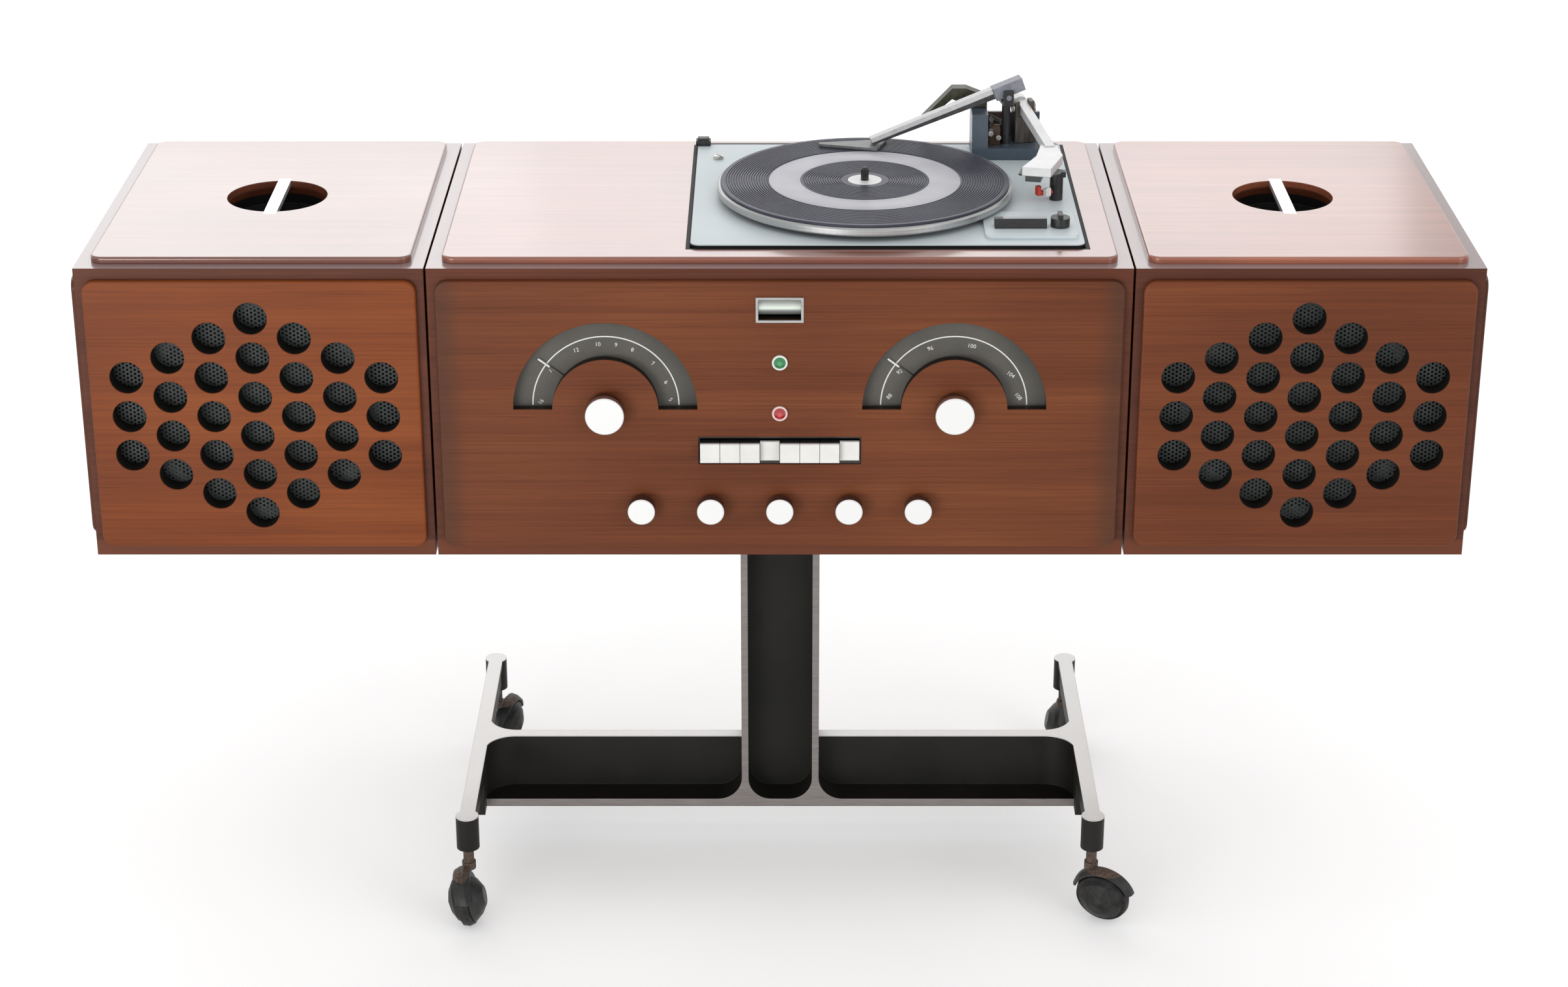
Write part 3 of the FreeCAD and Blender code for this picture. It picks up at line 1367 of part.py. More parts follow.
# Cast stand: column and beam of one flanged section, two foot bars with caster bosses, a top plate.
def make_stand():
    body = new_body("stand")
    half_column = s.column_width / 2
    beam_end = s.foot_spread - s.foot_rib / 2
    beam_low = s.foot_top - s.beam_tall
    tee = new_sketch(body, "XZ_Plane", -(s.flange_depth / 2))
    draw_polygon(tee, [
        (-beam_end, beam_low),
        (beam_end, beam_low),
        (beam_end, s.foot_top),
        (half_column, s.foot_top),
        (half_column, s.stand_height),
        (-half_column, s.stand_height),
        (-half_column, s.foot_top),
        (-beam_end, s.foot_top),
    ])
    pad(body, tee, s.flange_depth)
    recess = (s.flange_depth - s.web_thick) / 2
    floor = beam_low + s.bottom_flange
    inner = half_column - s.column_flange
    for face, backwards in ((s.flange_depth / 2, True), (-(s.flange_depth / 2), False)):
        hollows = new_sketch(body, "XZ_Plane", face)
        draw_polygon(hollows, [
            (-inner, floor),
            (inner, floor),
            (inner, s.stand_height - s.top_plate_thick),
            (-inner, s.stand_height - s.top_plate_thick),
        ])
        for side in SIDES.values():
            draw_polygon(hollows, [
                (side * half_column, floor),
                (side * (beam_end + s.overrun), floor),
                (side * (beam_end + s.overrun), s.foot_top + s.overrun),
                (side * half_column, s.foot_top + s.overrun),
            ])
        pocket(body, hollows, recess, backwards)
    low = floor.value + s.overrun.value
    round_edges(body, s.column_recess_corner, ALONG_Y, recess,
                keep=lambda at: at.z < low and abs(at.x) < half_column.value - s.column_flange.value / 2)
    round_edges(body, s.beam_recess_corner, ALONG_Y, recess,
                keep=lambda at: at.z < low and abs(abs(at.x) - half_column.value) < s.overrun.value)
    top_plate = new_sketch(body, "XY_Plane", s.stand_height)
    draw_rectangle(top_plate, 0, 0, s.top_plate_width, s.top_plate_depth)
    pad(body, top_plate, s.top_plate_thick, backwards=True)
    axis_back = s.foot_reach - s.boss_radius
    ribs = ((s.foot_rib_deep, s.beam_tall), (axis_back, s.foot_rib_shallow))
    for reach, depth in ribs:
        rib = new_sketch(body, "XY_Plane", s.foot_top)
        for side in SIDES.values():
            draw_rectangle(rib, side * s.foot_spread, 0, s.foot_rib, 2 * reach)
        pad(body, rib, depth, backwards=True)
    bars = new_sketch(body, "XY_Plane", s.foot_top)
    bosses = new_sketch(body, "XY_Plane", s.foot_top)
    for side in SIDES.values():
        draw_rectangle(bars, side * s.foot_spread, 0, s.foot_bar, 2 * axis_back)
        for end in (-1, 1):
            draw_circle(bosses, side * s.foot_spread, end * axis_back, s.boss_radius)
    pad(body, bars, s.foot_bar_thick, backwards=True)
    pad(body, bosses, s.boss_height, backwards=True)
    gussets = new_sketch(body, "XY_Plane", s.foot_top)
    for side in SIDES.values():
        for end in (-1, 1):
            draw_gusset(gussets, beam_end, s.web_thick / 2, s.foot_fillet, side, end)
    pad(body, gussets, s.beam_tall - s.bottom_flange / 2, backwards=True)
    wells = new_sketch(body, "XY_Plane", s.foot_top - s.boss_height)
    for side in SIDES.values():
        for end in (-1, 1):
            draw_circle(wells, side * s.foot_spread, end * axis_back, s.stem_radius + s.shaft_fit)
    pocket(body, wells, s.stem_sink + s.loose_fit)
    node("stand_casting", body)


# Ball caster: stem, neck and hood with a cowl over the tread in one swivelling piece, and a domed wheel
# on a sloping axle.
def make_casters():
    rise = s.wheel_radius * trig("cos", s.caster_tilt_angle)
    axis_back = s.foot_reach - s.boss_radius
    half_tread = s.wheel_tread / 2
    wheel_profile = [
        (0, half_tread + s.wheel_dome),
        (s.wheel_dome_top, half_tread + s.wheel_dome * s.wheel_crown_share),
        (s.wheel_dome_foot * s.wheel_flank_share, half_tread + s.wheel_dome * s.wheel_flank_rise_share),
        (s.wheel_dome_foot, half_tread),
        (s.wheel_edge, half_tread),
        (s.wheel_radius, 0),
        (s.wheel_edge, -half_tread),
        (s.wheel_axle + s.shaft_fit, -half_tread),
        (s.wheel_axle + s.shaft_fit, half_tread),
        (0, half_tread),
    ]
    hood_low = -(half_tread + s.hood_gap)
    hood_profile = [
        (0, half_tread - s.hood_gap),
        (s.wheel_axle, half_tread - s.hood_gap),
        (s.wheel_axle, hood_low),
        (s.hood_radius, hood_low),
        (s.hood_shoulder, hood_low - s.hood_depth * s.hood_shoulder_share),
        (s.hood_top, hood_low - s.hood_depth),
        (0, hood_low - s.hood_depth),
    ]
    cowl_inner = s.wheel_radius + s.hood_gap
    cowl_outer = cowl_inner + s.cowl_thick
    cowl_profile = [
        (cowl_inner, hood_low),
        (cowl_inner, half_tread),
        (cowl_inner + s.cowl_thick / 2, half_tread),
        (cowl_outer, 0),
        (cowl_outer, hood_low),
        (s.hood_radius, hood_low - s.cowl_lap),
        (s.hood_radius - s.cowl_lap, hood_low - s.cowl_lap),
        (s.hood_radius - s.cowl_lap, hood_low),
    ]
    stem_top = s.foot_top - s.boss_height + s.stem_sink
    corners = {
        "front_left": (-1, -1, s.swivel_front_left_angle),
        "front_right": (1, -1, s.swivel_front_right_angle),
        "rear_left": (-1, 1, s.swivel_rear_left_angle),
        "rear_right": (1, 1, s.swivel_rear_right_angle),
    }
    for name, (side, end, swivel) in corners.items():
        stem_x, stem_y = side * s.foot_spread, end * axis_back
        out_x, out_y = trig("cos", swivel), trig("sin", swivel)
        hub_x = stem_x - s.caster_trail * out_y + s.caster_aside * out_x
        hub_y = stem_y + s.caster_trail * out_x + s.caster_aside * out_y
        lean = s.quarter_turn_angle + s.caster_tilt_angle
        wheel = turned(f"{name}_wheel_disc", wheel_profile)
        node(f"wheel_{name}", place(wheel, hub_x, hub_y, rise, yaw=swivel, pitch=lean))
        hood = turned(f"{name}_hood", hood_profile)
        place(hood, hub_x, hub_y, rise, yaw=swivel, pitch=lean)
        stem = cylinder(f"{name}_stem", stem_x, stem_y, s.neck_bottom, s.stem_radius,
                        stem_top - s.neck_bottom)
        neck = cylinder(f"{name}_neck", stem_x, stem_y, s.neck_bottom, s.neck_radius,
                        s.neck_top - s.neck_bottom)
        rim = turned(f"{name}_rim", cowl_profile)
        place(rim, hub_x, hub_y, rise, yaw=swivel, pitch=lean)
        lower = centred_box(f"{name}_open", hub_x, hub_y, rise - 2 * cowl_outer, 4 * cowl_outer,
                            4 * cowl_outer, 2 * cowl_outer + s.cowl_level)
        cowl = cut(rim, lower)
        node(f"caster_{name}", fuse(f"{name}_caster", hood, cowl, stem, neck))


make_main_shell()
make_main_top()
make_front_panel()
make_back_cover()
make_chassis()
for name, side in SIDES.items():
    make_speaker_shell(name, side)
    make_speaker_top(name, side)
    make_baffle(name, side)
make_speaker_inner()
make_dials()
make_knobs()
make_indicators()
make_keys()
make_deck()
mat_level = make_platter()
make_tower()
make_clamp_arm(mat_level)
make_feeler()
shell_level = make_tonearm()
make_arm_rest(shell_level)
make_changer_controls()
make_stand()
make_casters()
doc.recompute()

for thing in doc.Objects:
    if "Invalid" in thing.State or "Error" in thing.State:
        raise ValueError(f"{thing.Label} did not build")
os.makedirs("parts", exist_ok=True)
for label, thing in nodes.items():
    if thing.Shape.isNull() or not thing.Shape.isValid():
        raise ValueError(f"{label} has no valid solid")
for label, thing in nodes.items():
    thing.Shape.exportStep(f"parts/{label}.step")
print(len(nodes), "parts written")
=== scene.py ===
from functools import partialmethod
import math

import bmesh
import bpy
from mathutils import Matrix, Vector


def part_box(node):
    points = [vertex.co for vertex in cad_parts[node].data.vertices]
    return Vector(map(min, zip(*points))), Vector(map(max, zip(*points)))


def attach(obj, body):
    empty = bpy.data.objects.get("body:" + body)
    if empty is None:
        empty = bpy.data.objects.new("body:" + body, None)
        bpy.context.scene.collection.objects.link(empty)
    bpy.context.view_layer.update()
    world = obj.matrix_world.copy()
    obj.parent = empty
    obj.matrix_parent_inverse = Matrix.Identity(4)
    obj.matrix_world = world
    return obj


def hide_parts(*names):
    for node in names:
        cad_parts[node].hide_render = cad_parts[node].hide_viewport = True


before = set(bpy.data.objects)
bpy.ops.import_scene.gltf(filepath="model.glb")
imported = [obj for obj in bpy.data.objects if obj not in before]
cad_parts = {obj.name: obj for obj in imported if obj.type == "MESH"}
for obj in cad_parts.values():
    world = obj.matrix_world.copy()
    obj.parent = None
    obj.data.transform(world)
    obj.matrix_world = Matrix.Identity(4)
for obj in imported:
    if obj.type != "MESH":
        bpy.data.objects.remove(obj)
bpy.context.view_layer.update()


# Studio: a plain white floor, an even pale sky, a low wide lamp in front on the left and a row of
# lamps behind, whose pale reflection lies on the varnished tops. The camera stands where the
# photographer stood, a little above the cabinet and looking down at it.
def seen_rays(tree):
    """One for what the camera sees, straight or by way of gloss and glass, and nothing for other light."""
    ray = tree.nodes.new("ShaderNodeLightPath")
    total = ray.outputs["Is Camera Ray"]
    for kind in ("Is Glossy Ray", "Is Transmission Ray"):
        adding = tree.nodes.new("ShaderNodeMath")
        adding.operation = "ADD"
        adding.use_clamp = True
        tree.links.new(total, adding.inputs[0])
        tree.links.new(ray.outputs[kind], adding.inputs[1])
        total = adding.outputs[0]
    return total


bpy.ops.object.select_all(action="DESELECT")
bpy.ops.mesh.primitive_plane_add(size=40)
floor = bpy.context.object
floor.name = "studio_floor"
paper = bpy.data.materials.new("studio_paper")
paper.use_nodes = True
paper_shader = paper.node_tree.nodes["Principled BSDF"]
paper_shader.inputs["Base Color"].default_value = (0.93, 0.93, 0.93, 1)
paper_shader.inputs["Roughness"].default_value = 0.9
paper_shader.inputs["Specular IOR Level"].default_value = 0.1
paper_shader.inputs["Emission Strength"].default_value = 0.3
paper.node_tree.links.new(seen_rays(paper.node_tree), paper_shader.inputs["Emission Color"])
floor.data.materials.append(paper)

sky = bpy.data.worlds.new("studio_sky")
bpy.context.scene.world = sky
sky.use_nodes = True
sky_tree = sky.node_tree
sky_mix = sky_tree.nodes.new("ShaderNodeMixShader")
sky_light = sky_tree.nodes["Background"]
sky_seen = sky_tree.nodes.new("ShaderNodeBackground")
sky_tree.links.new(seen_rays(sky_tree), sky_mix.inputs[0])
for socket, (glow, strength) in enumerate(((sky_light, 0.74), (sky_seen, 1.0)), 1):
    glow.inputs["Color"].default_value = (1, 1, 1, 1)
    glow.inputs["Strength"].default_value = strength
    sky_tree.links.new(glow.outputs[0], sky_mix.inputs[socket])
sky_tree.links.new(sky_mix.outputs[0], sky_tree.nodes["World Output"].inputs["Surface"])


def soft_lamp(name, place, aim, width, tall, watts):
    """A square soft lamp at a place, turned to what it lights."""
    light = bpy.data.lights.new(name, "AREA")
    light.shape = "RECTANGLE"
    light.size = width
    light.size_y = tall
    light.energy = watts
    lamp = bpy.data.objects.new(name, light)
    bpy.context.collection.objects.link(lamp)
    lamp.location = place
    lamp.rotation_euler = (Vector(aim) - Vector(place)).to_track_quat("-Z", "Y").to_euler()
    lamp.visible_camera = False


soft_lamp("front_lamp", (-1.7, -3.2, 0.35), aim=(0, 0, 0.5), width=1.5, tall=0.6, watts=36)
soft_lamp("fill_lamp", (2.6, -2.6, 1.2), aim=(0, 0, 0.5), width=1.6, tall=1.6, watts=18)
back_y, back_level, top_level = 3.2, 2.27, 0.7
for name, x, width, watts in (("left", -1.6, 2.2, 18.6), ("middle", 0, 1.0, 7.2), ("right", 0.88, 0.76, 4.5)):
    soft_lamp(f"back_lamp_{name}", (x, back_y, back_level), (x, 0, top_level), width, tall=1.5, watts=watts)

view = bpy.data.cameras.new("photo_camera")
view.sensor_width = 36
view.lens = 74.6
camera = bpy.data.objects.new("photo_camera", view)
bpy.context.collection.objects.link(camera)
camera.location = (0.0037, -2.8286, 1.5747)
camera.rotation_euler = (math.radians(66.774), 0, 0)
bpy.context.scene.camera = camera
bpy.context.scene.view_settings.view_transform = "Standard"


# Stand: one iron casting of column, beam and foot bars. Its hollows are painted black and worn to a
# dull sheen; the outer edges of the flanges and the tops of the bars are ground and left bright. The
# bar tops are far paler than the flanges, partly a painted highlight where they face the sky.
MM = 0.001


class Wire:
    """One shader value. Sums of wires and numbers add Math nodes to the same finish."""

    def __init__(self, finish, socket):
        self.finish = finish
        self.socket = socket

    def math(self, operation, *others):
        return self.finish.node("Math", {"operation": operation}, dict(enumerate((self, *others))))

    __add__ = __radd__ = partialmethod(math, "ADD")
    __sub__ = partialmethod(math, "SUBTRACT")
    __mul__ = __rmul__ = partialmethod(math, "MULTIPLY")
    __gt__ = partialmethod(math, "GREATER_THAN")
    __lt__ = partialmethod(math, "LESS_THAN")
    __abs__ = partialmethod(math, "ABSOLUTE")
    most = partialmethod(math, "MAXIMUM")

    def __rsub__(self, other):
        return self * -1 + other


class Finish:
    """A surface finish made of shader nodes round one Principled shader."""

    def __init__(self, name, **constants):
        self.material = bpy.data.materials.new(name)
        self.material.use_nodes = True
        self.tree = self.material.node_tree
        self.shader = self.tree.nodes["Principled BSDF"]
        self.give(**constants)
        self.at = self.node("TexCoord", out="Object")

    def node(self, kind, settings=None, inputs=None, out=0):
        """Add any node: its settings first, then values or wires on its sockets."""
        item = self.tree.nodes.new("ShaderNode" + kind)
        for name, value in (settings or {}).items():
            setattr(item, name, value)
        for key, value in (inputs or {}).items():
            self.join(value, item.inputs[key])
        return Wire(self, item.outputs[out])

    def join(self, value, socket):
        if isinstance(value, Wire):
            self.tree.links.new(value.socket, socket)
        elif isinstance(value, tuple) and len(value) == 3 and len(socket.default_value) == 4:
            socket.default_value = (*value, 1)
        else:
            socket.default_value = value

    def give(self, **sockets):
        """Set or wire sockets of the shader, such as base_color or coat_weight."""
        names = {"coat_ior": "Coat IOR", "specular": "Specular IOR Level"}
        for key, value in sockets.items():
            self.join(value, self.shader.inputs[names.get(key, key.replace("_", " ").title())])

    def lie(self, scale=(1, 1, 1), shift=(0, 0, 0)):
        """Object coordinates, shifted and then stretched."""
        moved = self.node("VectorMath", {"operation": "ADD"}, {0: self.at, 1: shift})
        return self.node("Mapping", {}, {"Vector": moved, "Scale": scale})

    def parts(self, vector=None):
        """The x, y and z of a vector as three wires."""
        split = self.node("SeparateXYZ", {}, {0: vector or self.at})
        return [Wire(self, output) for output in split.socket.node.outputs]

    def normal(self):
        return self.node("NewGeometry", out="Normal")

    def distance(self, first, second):
        """How far a point lies from an axis, from its offsets in two directions."""
        flat = self.node("CombineXYZ", {}, {0: first, 1: second})
        return self.node("VectorMath", {"operation": "LENGTH"}, {0: flat}, out="Value")

    def share(self, vector, direction):
        """How far a vector reaches in a direction."""
        return self.node("VectorMath", {"operation": "DOT_PRODUCT"}, {0: vector, 1: direction}, "Value")

    def noise(self, grains, detail=4, roughness=0.55, distortion=0, shift=(0, 0, 0)):
        """Noise with so many grains to the metre: one number, or one for each axis."""
        scale = grains if isinstance(grains, tuple) else (grains, grains, grains)
        return self.node("TexNoise", {}, {
            "Vector": self.lie(scale, shift), "Scale": 1, "Detail": detail, "Roughness": roughness,
            "Distortion": distortion})

    def rings(self, distance, grains, detail):
        """Noise that changes only with a distance, as turned metal does."""
        return self.node("TexNoise", {"noise_dimensions": "1D"}, {
            "W": distance * grains, "Detail": detail})

    def ramp(self, value, *colours, at=(0.3, 0.7)):
        """A colour for each value, from colours and the values they stand at."""
        ramp = self.node("ValToRGB", {}, {0: value})
        elements = ramp.socket.node.color_ramp.elements
        while len(elements) < len(colours):
            elements.new(1)
        for element, colour, place in zip(elements, colours, at):
            element.position = place
            element.color = (*colour, 1)
        return ramp

    def blend(self, factor, first, second, way="MIX"):
        """Mix two colours."""
        settings = {"data_type": "RGBA", "blend_type": way}
        return self.node("Mix", settings, {0: factor, 6: first, 7: second}, out=2)

    def step(self, value, start, end):
        """A smooth rise from 0 to 1 between two values."""
        settings = {"interpolation_type": "SMOOTHSTEP"}
        return self.node("MapRange", settings, {"Value": value, "From Min": start, "From Max": end})

    def relief(self, height, strength, depth, edge=0):
        """Bumps of a depth on edges rounded to a radius, as handling and paint do; both in millimetres."""
        smooth = self.node("Bevel", {"samples": 6}, {"Radius": edge * MM}) if edge else self.normal()
        self.give(normal=self.node("Bump", {}, {
            "Strength": strength, "Distance": depth * MM, "Height": height, "Normal": smooth}))


def dress(name, finish):
    """Give a piece of the frame its finish."""
    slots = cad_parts[name].data.materials
    slots.clear()
    slots.append(finish.material)


flange_low, flange_high = 36.6 * MM, 37.4 * MM
bar_low, bar_high = 105.5 * MM, 106.5 * MM
column_side = 37 * MM
iron = Finish("stand_black_iron", specular=0.22)
across, forward, level = iron.parts()
flange = (abs(forward) > flange_low) * (abs(forward) < flange_high)
bar_top = (level > bar_low) * (level < bar_high) * (abs(across) > column_side)
bright = flange.most(bar_top)
grain = iron.noise(260, detail=6)
cloud = iron.noise(9, detail=3)
brushed = iron.noise((40, 900, 900), detail=3)
paint = iron.ramp(cloud, (0.006, 0.0057, 0.005), (0.015, 0.0143, 0.0125))
metal = iron.ramp(brushed + cloud * 0.4, (0.19, 0.172, 0.164), (0.275, 0.252, 0.242), at=(0.4, 0.9))
# Partly painted light: the bar tops, which face the sky, are far paler than the ground flanges.
metal = iron.blend(bar_top, metal, (0.66, 0.65, 0.64))
iron.give(
    base_color=iron.blend(bright, paint, metal),
    metallic=bright * 0.55,
    roughness=0.46 - bright * 0.08 + grain * 0.12,
)
iron.relief(grain, 0.25, 0.4, 1.2)
dress("stand_casting", iron)


# Ball casters: black moulded hoods on rusty steel necks, each over a domed black wheel with a rubber
# tread. The wheels are scuffed and dusty.
def mottled(name, grains, detail, dark, light, gloss, relief=None, at=(0.3, 0.7), soft=0.55, **sockets):
    """A finish whose colour and gloss follow one noise.

    gloss is the least roughness and what the noise adds to it, relief a strength, a depth and an edge
    radius in millimetres.
    """
    finish = Finish(name, **sockets)
    mottle = finish.noise(grains, detail, soft)
    least, more = gloss
    finish.give(base_color=finish.ramp(mottle, dark, light, at=at), roughness=least + mottle * more)
    if relief:
        finish.relief(mottle, *relief)
    return finish


neck_low, neck_high = 51 * MM, 51.6 * MM
moulded = Finish("caster_black_moulding", specular=0.35)
speck = moulded.noise(420, detail=5)
dust = moulded.noise(60, detail=5, roughness=0.65)
hood = moulded.ramp(dust, (0.011, 0.011, 0.011), (0.036, 0.035, 0.033), at=(0.42, 0.74))
rust = moulded.ramp(speck, (0.05, 0.03, 0.02), (0.12, 0.085, 0.065), at=(0.35, 0.65))
neck = moulded.step(moulded.parts()[2], neck_low, neck_high)
moulded.give(
    base_color=moulded.blend(neck, hood, rust),
    roughness=0.32 + dust * 0.22 + neck * 0.15,
)
moulded.relief(speck, 0.12, 0.3, 0.9)
tread = mottled("wheel_black_rubber", 90, 6, (0.009, 0.009, 0.0092), (0.04, 0.039, 0.037), at=(0.4, 0.72),
                gloss=(0.34, 0.25), relief=(0.15, 0.4, 0.8), soft=0.7, specular=0.2)
for corner in ("front_left", "front_right", "rear_left", "rear_right"):
    dress(f"caster_{corner}", moulded)
    dress(f"wheel_{corner}", tread)


# Cabinet carcasses: veneered boards, stained red-brown, in darker tones than the raised panels, so
# the edges that stay uncovered between the panels come out darker. The grain runs along the boards.
# Only the ledges beside the tops are varnished, and their pale pink is a painted reflection of the
# bright room; the wells under the hand holes are black.
class Veneer(Finish):
    """Veneer whose grain runs along one axis, 0 for x and 1 for y, in tones from dark to light."""

    def __init__(self, name, along, tones, shift=(0, 0, 0), **sockets):
        super().__init__(name, **sockets)
        self.stain, self.fibres, self.pores = self.figure(along, tones, shift)

    def figure(self, along, tones, shift):
        """Long bands, fine fibres and short dark pores, with a slow change of tint."""
        def drawn_out(fine, long, **noise):
            grains = tuple(long if axis == along else fine for axis in range(3))
            return self.noise(grains, shift=shift, **noise)

        bands = drawn_out(30, 1.1, detail=5, roughness=0.62, distortion=0.5)
        fibres = drawn_out(620, 4.5, detail=3)
        pores = drawn_out(1500, 16, detail=2)
        cloud = self.noise(3.2, detail=2, shift=shift)
        colour = self.ramp(bands * 0.75 + cloud * 0.25, *tones, at=(0.24, 0.5, 0.76))
        for weight, value, shade, places in ((0.5, fibres, (0.62, 0.56, 0.5), (0.36, 0.6)),
                                             (0.35, pores, (0.3, 0.24, 0.2), (0.3, 0.4)),
                                             (0.8, cloud, (0.82, 0.78, 0.76), (0.38, 0.62))):
            tint = self.ramp(value, shade, (1, 1, 1), at=places)
            colour = self.blend(weight, colour, tint, "MULTIPLY")
        return colour, fibres, pores


def stain_boards(wood, stain, fibres, coat, well=0):
    """Finish a box: a redder foot, varnished ledges in a pale pink that is a painted reflection, a black well
    and a thin coat elsewhere.
    """
    foot_low, foot_high = 393 * MM, 396 * MM
    foot = wood.step(wood.parts()[2], foot_high, foot_low)
    ledge = wood.step(wood.parts(wood.normal())[2], 0.6, 0.9) * (1 - well)
    stain = wood.blend(foot * 0.7, stain, (0.15, 0.042, 0.016))
    # Painted reflection: the upward ledges are blended to a pale pink, as if mirroring the bright room.
    stain = wood.blend(ledge * 0.8, stain, (0.33, 0.24, 0.24))
    wood.give(
        base_color=wood.blend(well, stain, (0.008, 0.008, 0.008)),
        roughness=0.38 + fibres * 0.14,
        coat_weight=coat + ledge * (1 - coat),
    )
    wood.relief(fibres, 0.12, 0.15, 1.4)


# Darker tones than the raised panels, so the uncovered edges between the panels come out darker.
carcass_tones = ((0.08, 0.0215, 0.0092), (0.122, 0.033, 0.014), (0.16, 0.046, 0.019))
carcass = Veneer("carcass_veneer", 0, carcass_tones, specular=0.2, coat_roughness=0.14, coat_ior=1.55)
stain_boards(carcass, carcass.stain, carcass.fibres, coat=0.05)
dress("main_shell", carcass)

side_tones = ((0.068, 0.018, 0.008), (0.105, 0.028, 0.012), (0.14, 0.04, 0.017))
speaker_spread = 458 * MM
hand_hole_radius = 47 * MM
well_low, well_high = 643 * MM, 645 * MM
flank = Veneer("flank_veneer", 1, side_tones, specular=0.2, coat_roughness=0.14, coat_ior=1.55)
back_stain, back_fibres = flank.figure(0, side_tones, (0, 0, 0.3))[:2]
back = flank.step(abs(flank.parts(flank.normal())[1]), 0.6, 0.8)
across, forward, level = flank.parts()
hand_hole = flank.distance(abs(across) - speaker_spread, forward) < hand_hole_radius
stain = flank.blend(back, flank.stain, back_stain)
fibres = flank.fibres * (1 - back) + back_fibres * back
stain_boards(flank, stain, fibres, coat=0.08, well=hand_hole * flank.step(level, well_high, well_low))
for side in ("left", "right"):
    dress(f"speaker_{side}_shell", flank)


# Raised tops: veneered boards under a thick polished varnish, with rounded corners. The varnish is
# flat and clear, so the tops mirror the room behind; handling has dulled it in soft patches. Each
# top's wood tones are also made paler by its own factor, a painted reflection of the bright room.
top_tones = ((0.115, 0.032, 0.017), (0.165, 0.046, 0.023), (0.215, 0.066, 0.032))
for name, shift, pale in (("main_top_panel", (0, 0, 0), 1.7), ("speaker_left_top_panel", (0.3, 0.7, 0), 1.4),
                          ("speaker_right_top_panel", (0.9, 0.2, 0), 2.1)):
    # Painted reflection: the tones are made paler by each top's own factor.
    tones = [tuple(part * pale for part in tone) for tone in top_tones]
    varnish = Veneer(f"{name}_varnish", 0, tones, shift, specular=0.5, coat_weight=1.0, coat_roughness=0.14,
                     coat_ior=1.55)
    haze = varnish.noise(5, shift=shift)
    varnish.give(base_color=varnish.stain, roughness=0.26 + haze * 0.16)
    varnish.relief(varnish.fibres, 0.06, 0.1, 1.2)
    dress(name, varnish)


# Hardboard back of the middle cabinet, brown and fibrous, slotted for air and held by screws round
# its edge. It carries no print.
board = Finish("back_hardboard", specular=0.25)
flecks = board.noise(380, detail=6, roughness=0.7)
blotch = board.noise(14, detail=3)
pulp = flecks * 0.6 + blotch * 0.4
board.give(
    base_color=board.ramp(pulp, (0.055, 0.03, 0.017), (0.15, 0.085, 0.048)),
    roughness=0.7 + flecks * 0.2,
)
board.relief(flecks, 0.3, 0.3, 0.6)
dress("main_back_cover", board)


# Control panel: the same veneer, satin and redder, with crisp cut-outs for dials, keys and knobs.
# The walls of the cut-outs are stained nearly black, and the panel is darker towards its side edges.
front_tones = ((0.112, 0.0295, 0.0092), (0.168, 0.046, 0.0146), (0.222, 0.066, 0.0215))
panel_low, panel_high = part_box("main_front_panel")
cut_half_width, cut_half_height, cut_level = 280 * MM, 115 * MM, 515 * MM
side_dark_start, side_dark_end = panel_high.x - 26 * MM, panel_high.x - 4 * MM
panel = Veneer("panel_veneer", 0, front_tones, (0.4, 0, 0.1), specular=0.2, coat_weight=0.03,
               coat_roughness=0.2)
across, forward, level = panel.parts()
wall = panel.step(forward, panel_low.y + 0.7 * MM, panel_low.y + 1.4 * MM)
inside = (abs(across) < cut_half_width) * (abs(level - cut_level) < cut_half_height)
# Darker towards the side edges of the panel.
side_darkening = panel.step(abs(across), side_dark_start, side_dark_end) * 0.55
stain = panel.blend(side_darkening, panel.stain, (0.055, 0.026, 0.016))
panel.give(
    base_color=panel.blend(wall * inside, stain, (0.011, 0.0075, 0.006)),
    roughness=0.42 + panel.fibres * 0.14,
)
panel.relief(panel.fibres - panel.pores * 0.3, 0.14, 0.16, 1.0)
dress("main_front_panel", panel)


# Dials: dark grey plates behind the half-ring windows, each with a white arc and plain numbers printed
# inside it. A needle with a white tip crosses the arc, driven by the tuning knob below it.
def activate(*pieces):
    """Select pieces and nothing else, the first one active."""
    bpy.ops.object.select_all(action="DESELECT")
    for piece in pieces:
        piece.select_set(True)
    bpy.context.view_layer.objects.active = pieces[0]


def begin(name, add, **settings):
    """Add a primitive with nothing else selected and open it for shaping."""
    bpy.ops.object.select_all(action="DESELECT")
    add(**settings)
    piece = bpy.context.object
    piece.name = name
    bpy.ops.object.mode_set(mode="EDIT")
    return piece


def pull(x, y, z):
    """Extrude what is selected by a step in millimetres."""
    bpy.ops.mesh.extrude_region_move(TRANSFORM_OT_translate={"value": (x * MM, y * MM, z * MM)})


def face_outward():
    """Select the whole open mesh and turn its normals outward."""
    bpy.ops.mesh.select_all(action="SELECT")
    bpy.ops.mesh.normals_make_consistent(inside=False)


def settle(piece, place=(0, 0, 0), turn=(0, 0, 0)):
    """Leave edit mode and write a piece's turn and place into its mesh."""
    if bpy.context.mode != "OBJECT":
        bpy.ops.object.mode_set(mode="OBJECT")
    activate(piece)
    piece.location = place
    piece.rotation_euler = [math.radians(angle) for angle in turn]
    bpy.ops.object.transform_apply(location=True, rotation=True, scale=True)
    return piece


def complete(piece, finish, body, smooth=35):
    """Smooth a settled piece, give it its finish, its body and the slot it takes its finish from."""
    activate(piece)
    bpy.ops.object.shade_smooth_by_angle(angle=math.radians(smooth))
    piece.data.materials.clear()
    piece.data.materials.append(finish.material)
    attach(piece, body)


